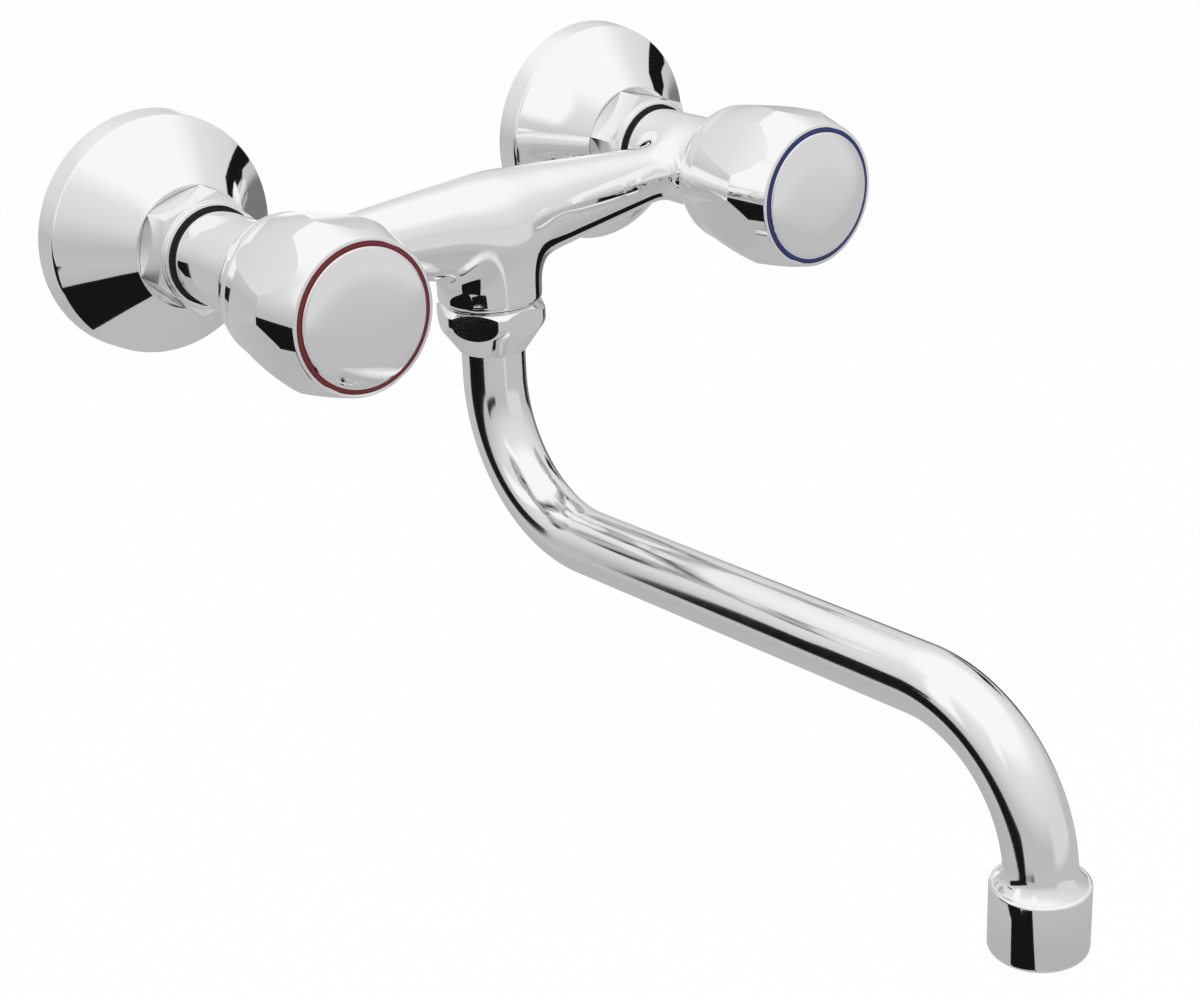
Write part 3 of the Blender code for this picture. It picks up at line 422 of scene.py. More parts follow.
def turned_metal(name, base, at, upright=False, roughness=0.28):
    """Machined metal: rings of the tool, 0.25 mm apart, round the piece's axis."""
    material, tree, shader = new_finish(name, base, 1.0, roughness)
    where = centred(tree, at)
    marks = add(tree, "ShaderNodeTexWave", {"Scale": 1250.0, "Distortion": 0.6,
                                            "Detail": 1.0},
                {"Vector": where}, wave_type="BANDS",
                bands_direction="Z" if upright else "Y")
    stain = add(tree, "ShaderNodeTexNoise", {"Scale": 180.0, "Detail": 4.0},
                {"Vector": where})
    tree.links.new(span(tree, stain.outputs["Fac"], roughness - 0.08,
                        roughness + 0.14), shader.inputs["Roughness"])
    tint = add(tree, "ShaderNodeMixRGB", {"Color1": (*base, 1.0),
                                          "Color2": (*[c * 0.7 for c in base], 1.0)},
               {"Fac": stain.outputs["Fac"]})
    tree.links.new(tint.outputs["Color"], shader.inputs["Base Color"])
    bumped(tree, shader, marks.outputs["Fac"], 0.00002, 0.5)
    return material


def moulded_plastic(name, base, roughness=0.25):
    """Injection-moulded plastic: nearly smooth, with a faint grain of 0.4 mm."""
    material, tree, shader = new_finish(name, base, 0.0, roughness)
    grain = add(tree, "ShaderNodeTexNoise", {"Scale": 2500.0, "Detail": 2.0},
                {"Vector": centred(tree, (0.0, 0.0, 0.0))})
    tree.links.new(span(tree, grain.outputs["Fac"], roughness - 0.05,
                        roughness + 0.08), shader.inputs["Roughness"])
    bumped(tree, shader, grain.outputs["Fac"], 0.00001, 0.4)
    return material


def moulded_rubber(name, base):
    """Black rubber: dull, with a matt bloom in patches of some 5 mm."""
    material, tree, shader = new_finish(name, base, 0.0, 0.6)
    where = centred(tree, (0.0, 0.0, 0.0))
    bloom = add(tree, "ShaderNodeTexNoise", {"Scale": 200.0, "Detail": 5.0},
                {"Vector": where})
    tree.links.new(span(tree, bloom.outputs["Fac"], 0.5, 0.8),
                   shader.inputs["Roughness"])
    grey = add(tree, "ShaderNodeMixRGB", {"Color1": (*base, 1.0),
                                          "Color2": (*[c * 1.8 for c in base], 1.0)},
               {"Fac": bloom.outputs["Fac"]})
    tree.links.new(grey.outputs["Color"], shader.inputs["Base Color"])
    bumped(tree, shader, bloom.outputs["Fac"], 0.00005, 0.5)
    return material


def finish_piece(obj, material, body, slot, *nodes):
    """Gives a piece its finish and its CAD body, and hides the CAD nodes that it stands for. The slot is not used.
    """
    obj.data.materials.clear()
    obj.data.materials.append(material)
    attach(obj, body)
    if nodes:
        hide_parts(*nodes)
    return obj


def chrome_of(context, name="polished_chrome"):
    """A chrome, made the first time that it is asked for.

    The union nuts are plated over milled flats and the tube over drawn brass,
    so theirs are not as sharp as that of the buffed castings.
    """
    low, high = {"polished_chrome": (0.015, 0.06), "tube_chrome": (0.06, 0.12),
                 "satin_chrome": (0.10, 0.20)}[name]
    return bpy.data.materials.get(name) or polished_chrome(
        name, context.scene.tap_finishes.chrome, low, high)


# ------------------------------------------------------------------ wall end
class TAP_OT_wall_covers(bpy.types.Operator):
    """Spin the two wall covers"""
    bl_idname = "tap.wall_covers"
    bl_label = "Wall covers"

    def execute(self, context):
        s = context.scene.tap_wall
        wall, hole = 0.0012, 0.0135
        rim = s.cover_radius - 0.0006
        seat = s.nut_rear - 0.0003
        under = seat - wall
        profile = rounded([
            (hole, seat), (s.cover_top - s.cover_height + seat, seat),
            (s.cover_top, s.cover_height, 0.0003),
            (rim, s.cover_rim, 0.0016), (s.cover_radius, 0.0),
            (s.cover_radius - wall, 0.0), (rim - wall, s.cover_rim - wall, 0.0008),
            (under, under, 0.0006), (hole, under)], closed=True)
        cover = lathe("hot_cover", profile, (HOT_X, 0.0), sides=192, closed=True)
        for side, piece in (("hot", cover), ("cold", copied(
                cover, "cold_cover", (COLD_X - HOT_X, 0, 0)))):
            finish_piece(piece, chrome_of(context), "tap_body", "chrome",
                         f"{side}_wall_rosette")
        return {"FINISHED"}


class TAP_OT_union_nuts(bpy.types.Operator):
    """Turn the two union nuts and cut their flats"""
    bl_idname = "tap.union_nuts"
    bl_label = "Union nuts"

    def execute(self, context):
        s = context.scene.tap_wall
        flat, corner = s.nut_across / 2, s.nut_across / math.sqrt(3) + 0.0001
        end, front, shelf, rear = 0.0312, 0.0332, 0.0316, s.nut_rear - 0.0002
        thread, neck, recess = 0.0135, 0.0111, 0.0134
        profile = rounded([
            (recess, front), (s.nut_lip, front, 0.0005), (s.nut_lip, end, 0.0003),
            (corner, end, 0.00015), (corner, s.nut_rear + corner - flat, 0.0002),
            (flat - 0.0002, rear, 0.0001), (thread, rear), (thread, end),
            (neck, end), (neck, shelf), (recess, shelf)], closed=True, steps=5)
        nut = lathe("hot_nut", profile, (HOT_X, 0.0), sides=192, closed=True)
        # A black rubber ring fills the groove between each nut's lip and the barrel. It is painted shade: a dark
        # piece that stands in for the shadow deep in that groove.
        inner, outer, waist, top = neck - 0.0001, recess - 0.0001, 0.0121, 0.0344
        ring = lathe("hot_gap_ring", rounded([
            (inner, shelf), (outer, shelf), (outer, 0.0322, 0.0002),
            (waist, 0.0326, 0.0004), (waist, top), (inner, top)],
            closed=True, steps=3), (HOT_X, 0.0), sides=96, closed=True)
        shift = (COLD_X - HOT_X, 0, 0)
        # Black rubber for the groove ring, painted shade in place of the groove's shadow
        rubber = moulded_rubber("painted_shade_rubber", context.scene.tap_finishes.rubber)
        for nut, ring, side, x, turn in (
                (copied(nut, "cold_nut", shift), copied(ring, "cold_gap_ring", shift),
                 "cold", COLD_X, s.cold_turn), (nut, ring, "hot", HOT_X, s.hot_turn)):
            cut_flats(nut, (x, 0.0), turn, flat)
            finish_piece(nut, chrome_of(context, "satin_chrome"), "tap_body",
                         "chrome", f"{side}_union_nut")
            finish_piece(ring, rubber, "tap_body", "rubber")
        return {"FINISHED"}


class TAP_OT_cranked_unions(bpy.types.Operator):
    """Turn the two wall unions, cut the threads of their tails and crank them"""
    bl_idname = "tap.cranked_unions"
    bl_label = "Cranked unions"

    def execute(self, context):
        s = context.scene.tap_wall
        rear, front, bend_rear, bend_front = -0.0200, 0.0273, 0.0015, 0.0075
        bore, wide_bore, wide = 0.0070, 0.0085, 0.0132
        head = [Vector((wide, front)), Vector((wide, bend_front)),
                Vector((s.tail, bend_rear))]
        tail = [head[-1], Vector((s.tail, rear + 0.0010)),
                Vector((s.tail - 0.0012, rear)), Vector((bore, rear))]
        inside = [tail[-1], Vector((bore, bend_rear - 0.0005)),
                  Vector((wide_bore, bend_front + 0.0005)), Vector((wide_bore, front))]
        profile = (densified(head, 0.001) + densified(tail, 0.0002)[1:]
                   + densified(inside, 0.001)[1:])
        union = lathe("hot_cranked_union", profile, (HOT_X, 0.0), sides=96, closed=True)
        points = points_of(union)
        x, depth, z = points[:, 0] - HOT_X, -points[:, 1], points[:, 2]
        radius, angle = np.hypot(x, z), np.arctan2(z, x)
        turns = depth / s.thread_pitch - angle / (2 * math.pi)
        groove = eased(1 - np.abs(2 * (turns % 1) - 1), 0.12, 0.88)
        runout = np.clip((-0.0010 - depth) / 0.0025, 0.0, 1.0)
        cut = s.tail - 0.64 * s.thread_pitch * runout * groove
        k = np.where(depth < 0.0, np.minimum(radius, cut), radius) / radius
        points[:, 0] = HOT_X + x * k
        points[:, 2] = z * k + s.crank * (1 - eased(depth, 0.0010, 0.0078))
        set_points(union, points)
        for side, piece in (("hot", union), ("cold", copied(
                union, "cold_cranked_union", (COLD_X - HOT_X, 0, 0)))):
            finish_piece(piece, chrome_of(context, "satin_chrome"), "tap_body",
                         "chrome", f"{side}_eccentric_union")
        return {"FINISHED"}


# ------------------------------------------------------------------ body
def body_distance(points, s):
    """Distance to the outer skin of the cast body: bar, neck and barrels."""
    x, across, z = np.abs(points[:, 0]), points[:, 1] - BODY_Y, points[:, 2]
    crown, sag, end_sag, neck_top = 0.024, 0.0031, 0.0004, -0.008
    along = np.where(x > crown, x - crown / 2, x ** 2 / (2 * crown))
    t = np.minimum(along / (COLD_X - crown / 2), 1.0)
    bar = np.hypot(across, z + sag + (end_sag - sag) * t)
    bar = np.maximum(bar - s.middle - (s.end - s.middle) * t, x - COLD_X)
    neck = np.sqrt(x ** 2 + across ** 2 + np.maximum(z - neck_top, 0.0) ** 2) - s.neck
    forward = np.clip((-points[:, 1] - s.rear) / (s.front - s.rear), 0.0, 1.0)
    barrel = np.hypot(x - COLD_X, z) - s.barrel - s.flare * forward
    return smooth_min(smooth_min(bar, neck, s.fillet), barrel, s.fillet)


def body_slope(points, s):
    step = 1e-5
    return np.stack([(body_distance(points + step * axis, s)
                      - body_distance(points - step * axis, s)) / (2 * step)
                     for axis in np.eye(3)], axis=1)


class TAP_OT_body(bpy.types.Operator):
    """Fuse bar, neck and barrels and draw them to one flowing skin"""
    bl_idname = "tap.body"
    bl_label = "Body"

    def execute(self, context):
        s = context.scene.tap_body
        parts = [start("bar", bpy.ops.mesh.primitive_cylinder_add, vertices=48,
                       radius=s.end + 0.003, depth=2 * COLD_X,
                       location=(0.0, BODY_Y, -0.002), rotation=(0, math.pi / 2, 0))]
        bpy.ops.object.mode_set(mode="OBJECT")
        parts.append(start("neck", bpy.ops.mesh.primitive_cylinder_add, vertices=48,
                           radius=s.neck, depth=0.034, location=(0, BODY_Y, -0.013)))
        bpy.ops.object.mode_set(mode="OBJECT")
        for x in (HOT_X, COLD_X):
            parts.append(start("barrel", bpy.ops.mesh.primitive_cylinder_add,
                               vertices=48, radius=s.barrel,
                               depth=s.front - s.rear + 0.006,
                               location=(x, -(s.rear + s.front) / 2, 0.0),
                               rotation=(math.pi / 2, 0, 0)))
            bpy.ops.object.mode_set(mode="OBJECT")
        for part in parts:
            part.select_set(True)
        bpy.context.view_layer.objects.active = parts[0]
        bpy.ops.object.join()
        body = parts[0]
        body.name = body.data.name = "cast_body"
        apply(body, "REMESH", mode="VOXEL", voxel_size=s.grain)
        points = points_of(body)
        for _ in range(12):
            value = body_distance(points, s)
            slope = body_slope(points, s)
            points -= slope * (value / np.maximum((slope ** 2).sum(1), 0.2))[:, None]
        set_points(body, points)
        bpy.ops.object.mode_set(mode="EDIT")
        rear_cut, front_cut, foot_cut = s.rear + 0.0007, s.front - 0.0006, s.foot + 0.0015
        for middle, place, normal in ((COLD_X, (0, -rear_cut, 0), (0, 1, 0)),
                                      (COLD_X, (0, -front_cut, 0), (0, -1, 0)),
                                      (0.0, (0, 0, foot_cut), (0, 0, -1))):
            select_points(body, lambda c: abs(abs(c.x) - middle) < 0.022)
            bpy.ops.mesh.bisect(plane_co=place, plane_no=normal, clear_outer=True)
        r, n, wide = s.barrel, s.neck, s.barrel + s.flare
        nipple, bonnet, spout = 0.0108, 0.0094, 0.0118
        for x in (HOT_X, COLD_X):
            rim(body, (x, 0.0), [
                (r, rear_cut), (r - 0.00005, s.rear + 0.0004),
                (r - 0.0002, s.rear + 0.0002), (r - 0.00045, s.rear + 0.00005),
                (r - 0.0008, s.rear), (nipple, s.rear), (nipple, s.rear + 0.0015)])
            rim(body, (x, 0.0), [
                (wide, front_cut), (wide - 0.0001, s.front - 0.0003),
                (wide - 0.0004, s.front), (bonnet, s.front), (bonnet, s.front - 0.0060)])
        rim(body, (0.0, BODY_Y), [
            (n, foot_cut), (n - 0.00005, s.foot + 0.0010), (n - 0.0002, s.foot + 0.0006),
            (n - 0.0005, s.foot + 0.0003), (n - 0.0009, s.foot + 0.0001),
            (n - 0.0014, s.foot), (spout, s.foot), (spout, s.foot + 0.0049)], True)
        close(body, 30.0)
        finish_piece(body, chrome_of(context), "tap_body", "chrome", "mixer_body")
        return {"FINISHED"}


# ------------------------------------------------------------------ handles
class TAP_OT_handles(bpy.types.Operator):
    """Turn the two handles, draw in their crowned flats and add ring and cap"""
    bl_idname = "tap.handles"
    bl_label = "Handles"

    def execute(self, context):
        s = context.scene.tap_handle
        rear, shoulder, wide, front = 0.0626, 0.0720, 0.0917, 0.1037
        heel, spring, bulge = 0.0198, 0.0130, 0.00045
        dome = [Vector((spring + (heel - spring) * math.cos(a),
                        shoulder - (shoulder - rear) * math.sin(a)))
                for a in np.radians(np.linspace(0.0, 90.0, 31))]
        outer = rounded([(s.front - 0.001, front), (s.front, front, 0.0004),
                         (s.wide, wide, 0.0005), (heel, shoulder)], steps=16)[1:-1]
        side = [Vector((s.wide + (heel - s.wide) * t + bulge * 4 * t * (1 - t),
                        wide + (shoulder - wide) * t))
                for t in np.linspace(0.04, 0.96, 24)]
        well, lip, seat, floor = 0.0168, 0.0191, front - 0.0025, 0.0880
        recess = [Vector(p) for p in ((well, floor), (well, seat), (lip, seat),
                                      (lip, front))]
        skirt, hub, hole, web, hub_rear = 0.0123, 0.0075, 0.0053, 0.0800, 0.0750
        hollow = [Vector(p) for p in ((skirt, rear), (skirt, web), (hub, web),
                                      (hub, hub_rear), (hole, hub_rear), (hole, floor))]
        profile = recess + outer + side + dome + hollow
        at = (HOT_X, 0.0)
        knob = lathe("hot_knob", profile, at, sides=360, closed=True)
        blank = self.barrel("flats", at, s, np.linspace(0.058, 0.108, 101))
        apply(knob, "BOOLEAN", operation="INTERSECT", object=blank, solver="EXACT")
        bpy.data.objects.remove(blank)
        bpy.ops.object.mode_set(mode="EDIT")
        close(knob, 5.0)
        ring_in, ring_out, under = 0.01785, 0.01895, front - 0.0022
        ring = lathe("hot_ring", rounded([
            (ring_in, front + 0.0001), (ring_out, front + 0.0001, 0.0002),
            (ring_out, under), (ring_in, under)], closed=True,
            steps=3), at, sides=160, closed=True)
        edge, top, plug, plug_in = 0.0178, front + s.proud, 0.0165, 0.0153
        face = ([Vector((r, top - 0.0006 * (r / edge) ** 6))
                 for r in np.linspace(0.0, edge - 0.0004, 40)]
                + rounded([(edge - 0.0004, top - 0.0006), (edge, top - 0.0008, 0.0003),
                           (edge, under)], steps=5)[1:] + [Vector((plug, under))])
        back = [Vector(p) for p in ((plug, under - 0.0041), (plug_in, under - 0.0041),
                                    (plug_in, under + 0.0004), (0.0, under + 0.0004))]
        cap = lathe("hot_cap", densified(face, 0.0008) + back, at, sides=160)
        tints = {"hot": "red_plastic", "cold": "blue_plastic"}
        for piece, node in ((knob, "handle"), (ring, "index_ring"),
                            (cap, "handle_cap")):
            name = piece.name.replace("hot", "cold")
            twin = copied(piece, name, (COLD_X - HOT_X, 0, 0))
            for side, one in (("hot", piece), ("cold", twin)):
                finish, slot = chrome_of(context), "chrome"
                if piece is ring:
                    tint = getattr(context.scene.tap_finishes, side)
                    finish, slot = moulded_plastic(f"{side}_ring_plastic", tint), tints[side]
                finish_piece(one, finish, f"{side}_handle_body", slot, f"{side}_{node}")
        return {"FINISHED"}

    def barrel(self, name, at, s, depths):
        """A six-sided barrel with crowned flats that the knob is cut with."""
        highest = 0.0900

        def corner(depth):
            apothem = s.flat - (depth - highest) ** 2 / (2 * s.crown)
            return apothem / math.cos(math.pi / s.flats)

        blank = start(name, bpy.ops.mesh.primitive_circle_add, vertices=s.flats,
                      radius=corner(depths[0]), fill_type="NGON",
                      location=(at[0], -depths[0], 0.0),
                      rotation=(math.pi / 2, math.pi / 2 - s.turn, 0.0))
        for d0, d1 in zip(depths, depths[1:]):
            bpy.ops.mesh.extrude_region_move(
                TRANSFORM_OT_translate={"value": (0, d0 - d1, 0)})
            k = corner(d1) / corner(d0)
            bpy.ops.transform.resize(value=(k, 1, k),
                                     center_override=(at[0], -d1, 0.0))
        return close(blank)


# ------------------------------------------------------------------ spout
class TAP_OT_spout(bpy.types.Operator):
    """Bend the spout tube, flare its end and turn the nut that holds it"""
    bl_idname = "tap.spout"
    bl_label = "Spout"

    def execute(self, context):
        s = context.scene.tap_spout
        top, bend = -0.0225, -0.0480
        tube = start("bent_tube", bpy.ops.mesh.primitive_circle_add, vertices=96,
                     radius=s.radius, fill_type="NOTHING", location=(0, BODY_Y, top))
        bpy.ops.mesh.extrude_region_move(
            TRANSFORM_OT_translate={"value": (0, 0, bend - top)})
        turn = math.pi / 2 + s.rise
        bpy.ops.mesh.spin(steps=64, angle=turn, center=(0, BODY_Y - s.bend, bend),
                          axis=(1, 0, 0))
        bpy.ops.mesh.extrude_region_move(TRANSFORM_OT_translate={"value": (
            0, -s.run * math.cos(s.rise), s.run * math.sin(s.rise))})
        reach = s.bend * (1 + math.sin(s.rise)) + s.run * math.cos(s.rise)
        height = bend - s.bend * math.cos(s.rise) + s.run * math.sin(s.rise)
        centre = Vector((0, BODY_Y - reach - s.bend * math.sin(s.rise),
                         height - s.bend * math.cos(s.rise)))
        flared = math.radians(6.5)
        bpy.ops.mesh.spin(steps=48, angle=-(turn - flared), center=centre,
                          axis=(1, 0, 0))
        was, steps = s.radius, 12
        for step in range(1, steps + 1):
            bpy.ops.mesh.spin(steps=1, angle=-flared / steps, center=centre,
                              axis=(1, 0, 0))
            heading = flared * (1 - step / steps)
            now = s.radius + (s.flare - s.radius) * (step / steps) ** 2.2
            middle = centre + Vector((0, -math.cos(heading), math.sin(heading))) * s.bend
            bpy.ops.transform.resize(value=(now / was,) * 3, center_override=middle)
            was = now
        middle = centre + Vector((0, -s.bend, 0))
        spigot, spigot_length, wall = 0.0109, 0.0070, 0.0016
        k = spigot / s.flare
        bpy.ops.mesh.extrude_region_move()
        bpy.ops.transform.resize(value=(k, k, 1), center_override=middle)
        bpy.ops.mesh.extrude_region_move(
            TRANSFORM_OT_translate={"value": (0, 0, -spigot_length)})
        close(tube)
        apply(tube, "SOLIDIFY", thickness=wall, offset=-1.0)
        bpy.ops.object.mode_set(mode="EDIT")
        close(tube)
        finish_piece(tube, chrome_of(context, "tube_chrome"), "spout_body", "chrome",
                     "spout_tube")

        up, girth, taper, end = -0.0251, -0.0269, -0.0310, -0.0393
        bore, seal, thread = s.radius + 0.0003, 0.0113, 0.01335
        floor, step = -0.0348, -0.0326
        profile = rounded([
            (thread, up), (s.nut, girth, 0.0006), (s.nut, taper, 0.0060),
            (bore + 0.0004, end, 0.0002), (bore, end), (bore, floor), (seal, floor),
            (seal, step), (thread, step)], closed=True, steps=12)
        at = (0.0, BODY_Y)
        nut = lathe("spout_collar_nut", profile, at, upright=True, sides=240,
                    closed=True)
        cut_flats(nut, at, s.nut_turn, s.nut_across / 2, upright=True)
        finish_piece(nut, chrome_of(context), "tap_body", "chrome", "spout_nut")
        return {"FINISHED"}


class TAP_OT_outlet(bpy.types.Operator):
    """Turn the outlet shell"""
    bl_idname = "tap.outlet"
    bl_label = "Outlet"

    def execute(self, context):
        s = context.scene.tap_spout
        top = OUTLET[1].z
        low = top - s.outlet_height
        thread, mouth, seat, chamber = 0.0112, 0.0096, low + 0.0018, 0.0107
        profile = rounded([
            (thread, top), (s.outlet, top, 0.0007), (s.outlet, low, 0.0016),
            (mouth, low, 0.0003), (mouth, seat), (chamber, seat),
            (chamber, top - 0.0087), (thread, top - 0.0087)], closed=True)
        shell = lathe("outlet_shell", profile, (0.0, OUTLET_Y), upright=True,
                      sides=192, closed=True)
        finish_piece(shell, chrome_of(context), "spout_body", "chrome",
                     "aerator_shell")
        return {"FINISHED"}


class TAP_OT_inner_finishes(bpy.types.Operator):
    """Give the hidden brass, rubber, nylon and steel pieces their finishes"""
    bl_idname = "tap.inner_finishes"
    bl_label = "Inner finishes"

    def execute(self, context):
        s = context.scene.tap_finishes
        made = {}

        def finish_for(slot, node):
            if slot == "chrome":
                return chrome_of(context)
            if slot in ("brass", "steel"):
                x = COLD_X if node.startswith("cold") else HOT_X
                key = (slot, x)
                if key not in made:
                    side = "cold" if x > 0 else "hot"
                    made[key] = turned_metal(
                        f"{side}_turned_{slot}", getattr(s, slot), (x, 0.0, 0.0),
                        roughness=0.28 if slot == "brass" else 0.22)
                return made[key]
            if slot not in made:
                made[slot] = {
                    "bronze": lambda: turned_metal("spring_bronze", s.bronze,
                                                   (0.0, BODY_Y, 0.0), True, 0.35),
                    "rubber": lambda: moulded_rubber("black_rubber", s.rubber),
                    "nylon": lambda: moulded_plastic("white_nylon", s.nylon, 0.42),
                    "red_plastic": lambda: moulded_plastic("red_plastic", s.hot),
                    "blue_plastic": lambda: moulded_plastic("blue_plastic", s.cold),
                }[slot]()
            return made[slot]

        for part in frame["record"]["subparts"]:
            node = frame["nodes"][part["node"]]
            material = finish_for(part["material_slot"], part["node"])
            for holder in node.material_slots:
                holder.material = material
        return {"FINISHED"}


# ------------------------------------------------------------------ stage
class TAP_OT_stage(bpy.types.Operator):
    """Set camera, lamps and floor, and the cards and tent that the chrome mirrors"""
    bl_idname = "tap.stage"
    bl_label = "Stage"

    def execute(self, context):
        s = context.scene.tap_stage
        scene = context.scene
        azimuth, elevation, roll = map(math.radians, (
            CAMERA_AZIMUTH, CAMERA_ELEVATION, CAMERA_ROLL))
        back = Vector((math.sin(azimuth) * math.cos(elevation),
                       -math.cos(azimuth) * math.cos(elevation),
                       math.sin(elevation)))
        right = (-back).cross(Vector((0, 0, 1))).normalized()
        up = right.cross(-back)
        turned_right = right * math.cos(roll) + up * math.sin(roll)
        turned_up = -right * math.sin(roll) + up * math.cos(roll)
        lens = bpy.data.cameras.new("camera")
        camera = bpy.data.objects.new("camera", lens)
        scene.collection.objects.link(camera)
        placed = Matrix((turned_right, turned_up, back)).transposed().to_4x4()
        placed.translation = CAMERA_PLACE
        camera.matrix_world = placed
        lens.sensor_width = SENSOR_WIDTH
        lens.lens = FOCAL_PIXELS / PICTURE_WIDTH * SENSOR_WIDTH
        lens.shift_x = (PICTURE_WIDTH / 2 - MIDDLE_PIXEL[0]) / PICTURE_WIDTH
        lens.shift_y = (MIDDLE_PIXEL[1] - PICTURE_HEIGHT / 2) / PICTURE_WIDTH
        lens.clip_start, lens.clip_end = 0.01, 50.0
        scene.camera = camera

        floor = start("floor", bpy.ops.mesh.primitive_plane_add, size=12.0,
                      location=(0, 0, -s.floor_drop))
        bpy.ops.object.mode_set(mode="OBJECT")
        floor.data.materials.append(self.floor_paint(s.floor))
        floor.visible_glossy = False

        for name, place, width, power in (
                ("softbox_left", (-1.2, -0.8, 1.3), 1.2, s.light),
                ("softbox_right", (1.2, -1.0, 1.1), 1.2, s.light * 0.6)):
            lamp = bpy.data.lights.new(name, "AREA")
            lamp.size, lamp.energy = width, power
            holder = bpy.data.objects.new(name, lamp)
            scene.collection.objects.link(holder)
            holder.location = place
            aim = Vector((0, -0.1, 0)) - Vector(place)
            holder.rotation_euler = aim.to_track_quat("-Z", "Y").to_euler()
            holder.visible_glossy = False

        for name, place, turn, width, height in (
                ("left_flag", (-0.75, 0.11, -0.36), (87, 20, -111), 0.89, 0.39),
                ("low_left_flag", (-0.54, -0.32, -0.61), (174, 44, -8), 0.46, 0.59),
                ("near_left_flag", (-0.114, -0.131, -0.073), (104, 4, -82), 0.085, 0.014),
                ("right_flag", (0.85, 0.17, 0.145), (51, -48, 135), 0.08, 0.39),
                ("low_right_flag", (0.34, -0.04, -0.21), (178, -60, 11), 0.21, 0.13),
                ("far_right_flag", (1.25, 0.20, 0.21), (71, -55, 119), 0.13, 0.34)):
            self.card(name, place, turn, width, height, level=0.008, soft=0.005)
        for name, place, turn, width, height, level, soft in (
                ("left_panel", (-0.90, 0.17, 0.47), (-15, -62, 4), 1.00, 0.38, 1.0, 0.2),
                ("top_left_panel", (-0.27, -0.39, 0.38), (21, -42, 16),
                 0.72, 0.14, 1.0, 0.2),
                ("rear_panel", (0.48, 0.82, -0.14), (-53, -102, -68),
                 0.70, 0.24, 0.96, 0.2),
                ("grey_panel", (0.72, 0.27, -0.26), (123, -60, 85),
                 0.44, 0.41, 0.19, 0.1),
                ("front_panel", (0.47, -1.05, -0.06), (97, -3, 27),
                 1.37, 0.65, 0.71, 0.2)):
            self.card(name, place, turn, width, height, level, soft)
        self.surroundings(scene)
        scene.view_settings.view_transform = "Standard"
        return {"FINISHED"}

    def card(self, name, place, turn, width, height, level, soft):
        """A flag or panel beside the tap that only the chrome reflects."""
        card = start(name, bpy.ops.mesh.primitive_plane_add, size=1.0)
        bpy.ops.transform.resize(value=(width, height, 1.0))
        bpy.ops.object.mode_set(mode="OBJECT")
        card.location = place
        card.rotation_euler = [math.radians(a) for a in turn]
        material = bpy.data.materials.new(name + "_face")
        material.use_nodes = True
        tree = material.node_tree
        tree.nodes.remove(tree.nodes["Principled BSDF"])
        across = add(tree, "ShaderNodeSeparateXYZ", None, {
            "Vector": add(tree, "ShaderNodeTexCoord").outputs["UV"]})
        near = None
        for axis in "XY":
            off = add(tree, "ShaderNodeMath", {1: 0.5},
                      {0: across.outputs[axis]}, operation="SUBTRACT")
            off = add(tree, "ShaderNodeMath", None, {0: off.outputs["Value"]},
                      operation="ABSOLUTE")
            fade = add(tree, "ShaderNodeMapRange",
                       {"From Min": 0.5 - soft, "From Max": 0.5, "To Min": 1.0,
                        "To Max": 0.0}, {"Value": off.outputs["Value"]},
                       interpolation_type="SMOOTHSTEP").outputs["Result"]
            near = fade if near is None else add(
                tree, "ShaderNodeMath", None, {0: near, 1: fade},
                operation="MULTIPLY").outputs["Value"]
        glow = add(tree, "ShaderNodeEmission", {"Color": (level, level, level, 1.0)})
        clear = add(tree, "ShaderNodeBsdfTransparent")
        mix = add(tree, "ShaderNodeMixShader", None, {
            0: near, 1: clear.outputs["BSDF"], 2: glow.outputs["Emission"]})
        tree.links.new(mix.outputs["Shader"],
                       tree.nodes["Material Output"].inputs["Surface"])
        card.data.materials.append(material)
        for ray in ("camera", "diffuse", "transmission", "volume_scatter", "shadow"):
            setattr(card, "visible_" + ray, False)

    def floor_paint(self, base):
        """Pale floor that the camera and the chrome see as white, with shadow."""
        material, tree, shader = new_finish("pale_floor", base, 0.0, 0.8)
        path = add(tree, "ShaderNodeLightPath")
        seen = add(tree, "ShaderNodeMath", None, {
            0: path.outputs["Is Camera Ray"], 1: path.outputs["Is Glossy Ray"]},
            operation="ADD", use_clamp=True)
        white = add(tree, "ShaderNodeEmission", {"Color": (1, 1, 1, 1)})
        part = add(tree, "ShaderNodeMath", {1: 0.97},
                   {0: seen.outputs["Value"]}, operation="MULTIPLY")
        mix = add(tree, "ShaderNodeMixShader", None, {
            0: part.outputs["Value"], 1: shader.outputs["BSDF"],
            2: white.outputs["Emission"]})
        below = add(tree, "ShaderNodeNewGeometry")
        clear = add(tree, "ShaderNodeBsdfTransparent")
        both = add(tree, "ShaderNodeMixShader", None, {
            0: below.outputs["Backfacing"], 1: mix.outputs["Shader"],
            2: clear.outputs["BSDF"]})
        tree.links.new(both.outputs["Shader"],
                       tree.nodes["Material Output"].inputs["Surface"])
        return material

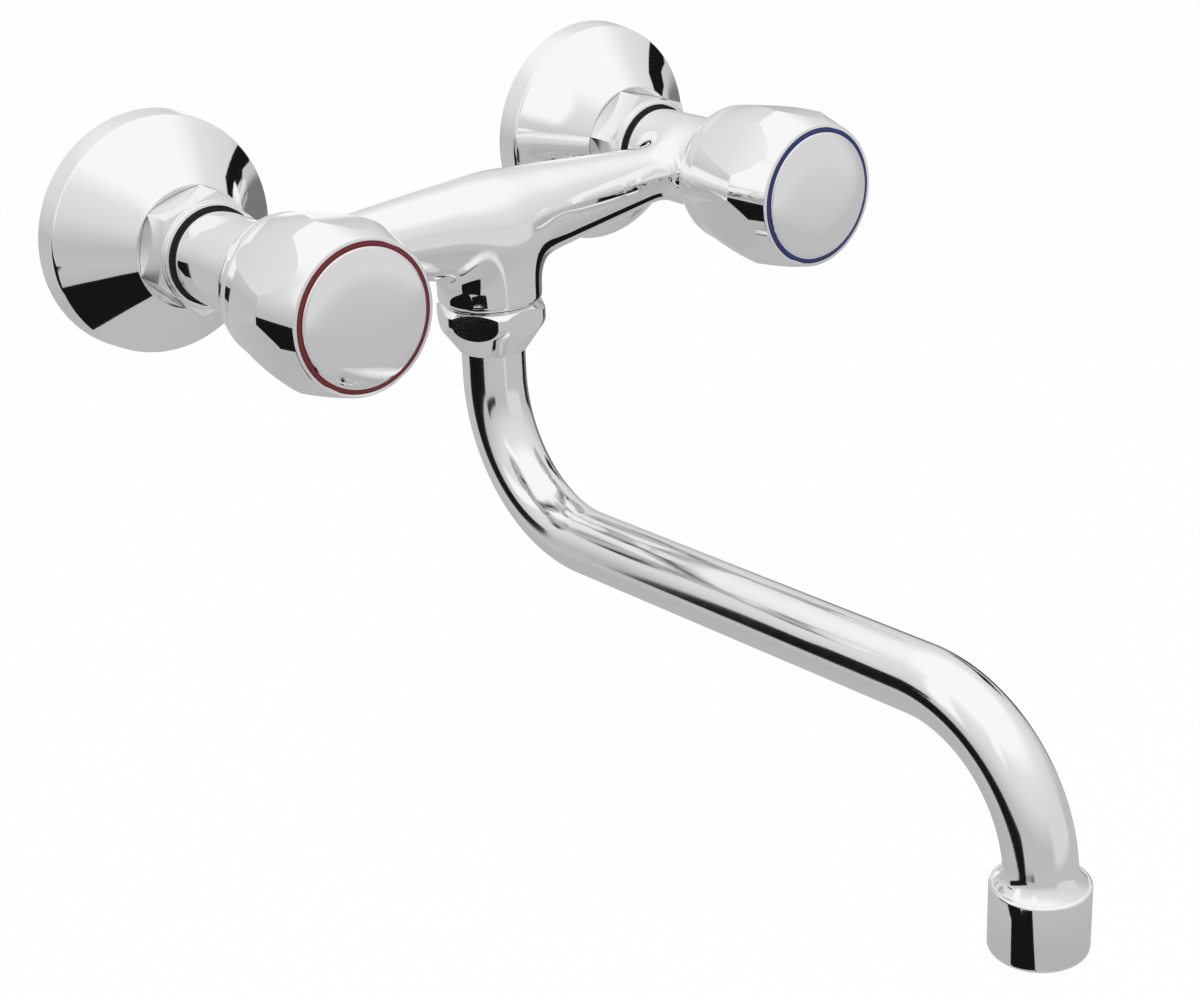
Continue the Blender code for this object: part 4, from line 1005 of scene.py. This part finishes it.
    def surroundings(self, scene):
        """White for the camera; the chrome sees a tent, white above, grey below."""
        world = bpy.data.worlds.new("studio")
        scene.world = world
        world.use_nodes = True
        tree = world.node_tree
        path = add(tree, "ShaderNodeLightPath")
        aim = add(tree, "ShaderNodeSeparateXYZ", None, {
            "Vector": add(tree, "ShaderNodeTexCoord").outputs["Generated"]})
        rise = add(tree, "ShaderNodeMapRange", {"From Min": -1.0},
                   {"Value": aim.outputs["Z"]})
        tent = add(tree, "ShaderNodeValToRGB", None, {0: rise.outputs["Result"]})
        stops = tent.color_ramp.elements
        stops[0].color = (0.52, 0.52, 0.52, 1.0)
        stops[1].position = 0.89
        for place, grey in ((0.20, 0.47), (0.30, 0.54), (0.455, 0.52),
                            (0.63, 0.72), (0.785, 0.80)):
            stops.new(place).color = (grey, grey, grey, 1.0)
        plain = add(tree, "ShaderNodeMixRGB", {"Color1": (0.75, 0.75, 0.75, 1.0)},
                    {"Fac": path.outputs["Is Glossy Ray"],
                     "Color2": tent.outputs["Color"]})
        white = add(tree, "ShaderNodeMixRGB", {"Color2": (1.0, 1.0, 1.0, 1.0)},
                    {"Fac": path.outputs["Is Camera Ray"],
                     "Color1": plain.outputs["Color"]})
        tree.links.new(white.outputs["Color"],
                       tree.nodes["Background"].inputs["Color"])


# ------------------------------------------------------------------ add-on
STEPS = (TAP_OT_wall_covers, TAP_OT_union_nuts, TAP_OT_cranked_unions, TAP_OT_body,
         TAP_OT_handles, TAP_OT_spout, TAP_OT_outlet, TAP_OT_inner_finishes,
         TAP_OT_stage)
GROUPS = {"tap_wall": WallEndSizes, "tap_body": BodySizes,
          "tap_handle": HandleSizes, "tap_spout": SpoutSizes,
          "tap_finishes": Finishes, "tap_stage": StageSettings}


class TAP_PT_panel(bpy.types.Panel):
    bl_idname = "TAP_PT_panel"
    bl_label = "Wall mixer tap"
    bl_space_type = "VIEW_3D"
    bl_region_type = "UI"
    bl_category = "Tap"

    def draw(self, context):
        for step in STEPS:
            self.layout.operator(step.bl_idname)
        for name, group in GROUPS.items():
            box = self.layout.box()
            for setting in group.__annotations__:
                box.prop(getattr(context.scene, name), setting)


def register():
    for cls in (*GROUPS.values(), *STEPS, TAP_PT_panel):
        bpy.utils.register_class(cls)
    for name, group in GROUPS.items():
        setattr(bpy.types.Scene, name, PointerProperty(type=group))


def unregister():
    for name in GROUPS:
        delattr(bpy.types.Scene, name)
    for cls in reversed((*GROUPS.values(), *STEPS, TAP_PT_panel)):
        bpy.utils.unregister_class(cls)


def main():
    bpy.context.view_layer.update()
    register()
    bpy.ops.tap.wall_covers()
    bpy.ops.tap.union_nuts()
    bpy.ops.tap.cranked_unions()
    bpy.ops.tap.body()
    bpy.ops.tap.handles()
    bpy.ops.tap.spout()
    bpy.ops.tap.outlet()
    bpy.ops.tap.inner_finishes()
    bpy.ops.tap.stage()


if __name__ == "__main__":
    main()
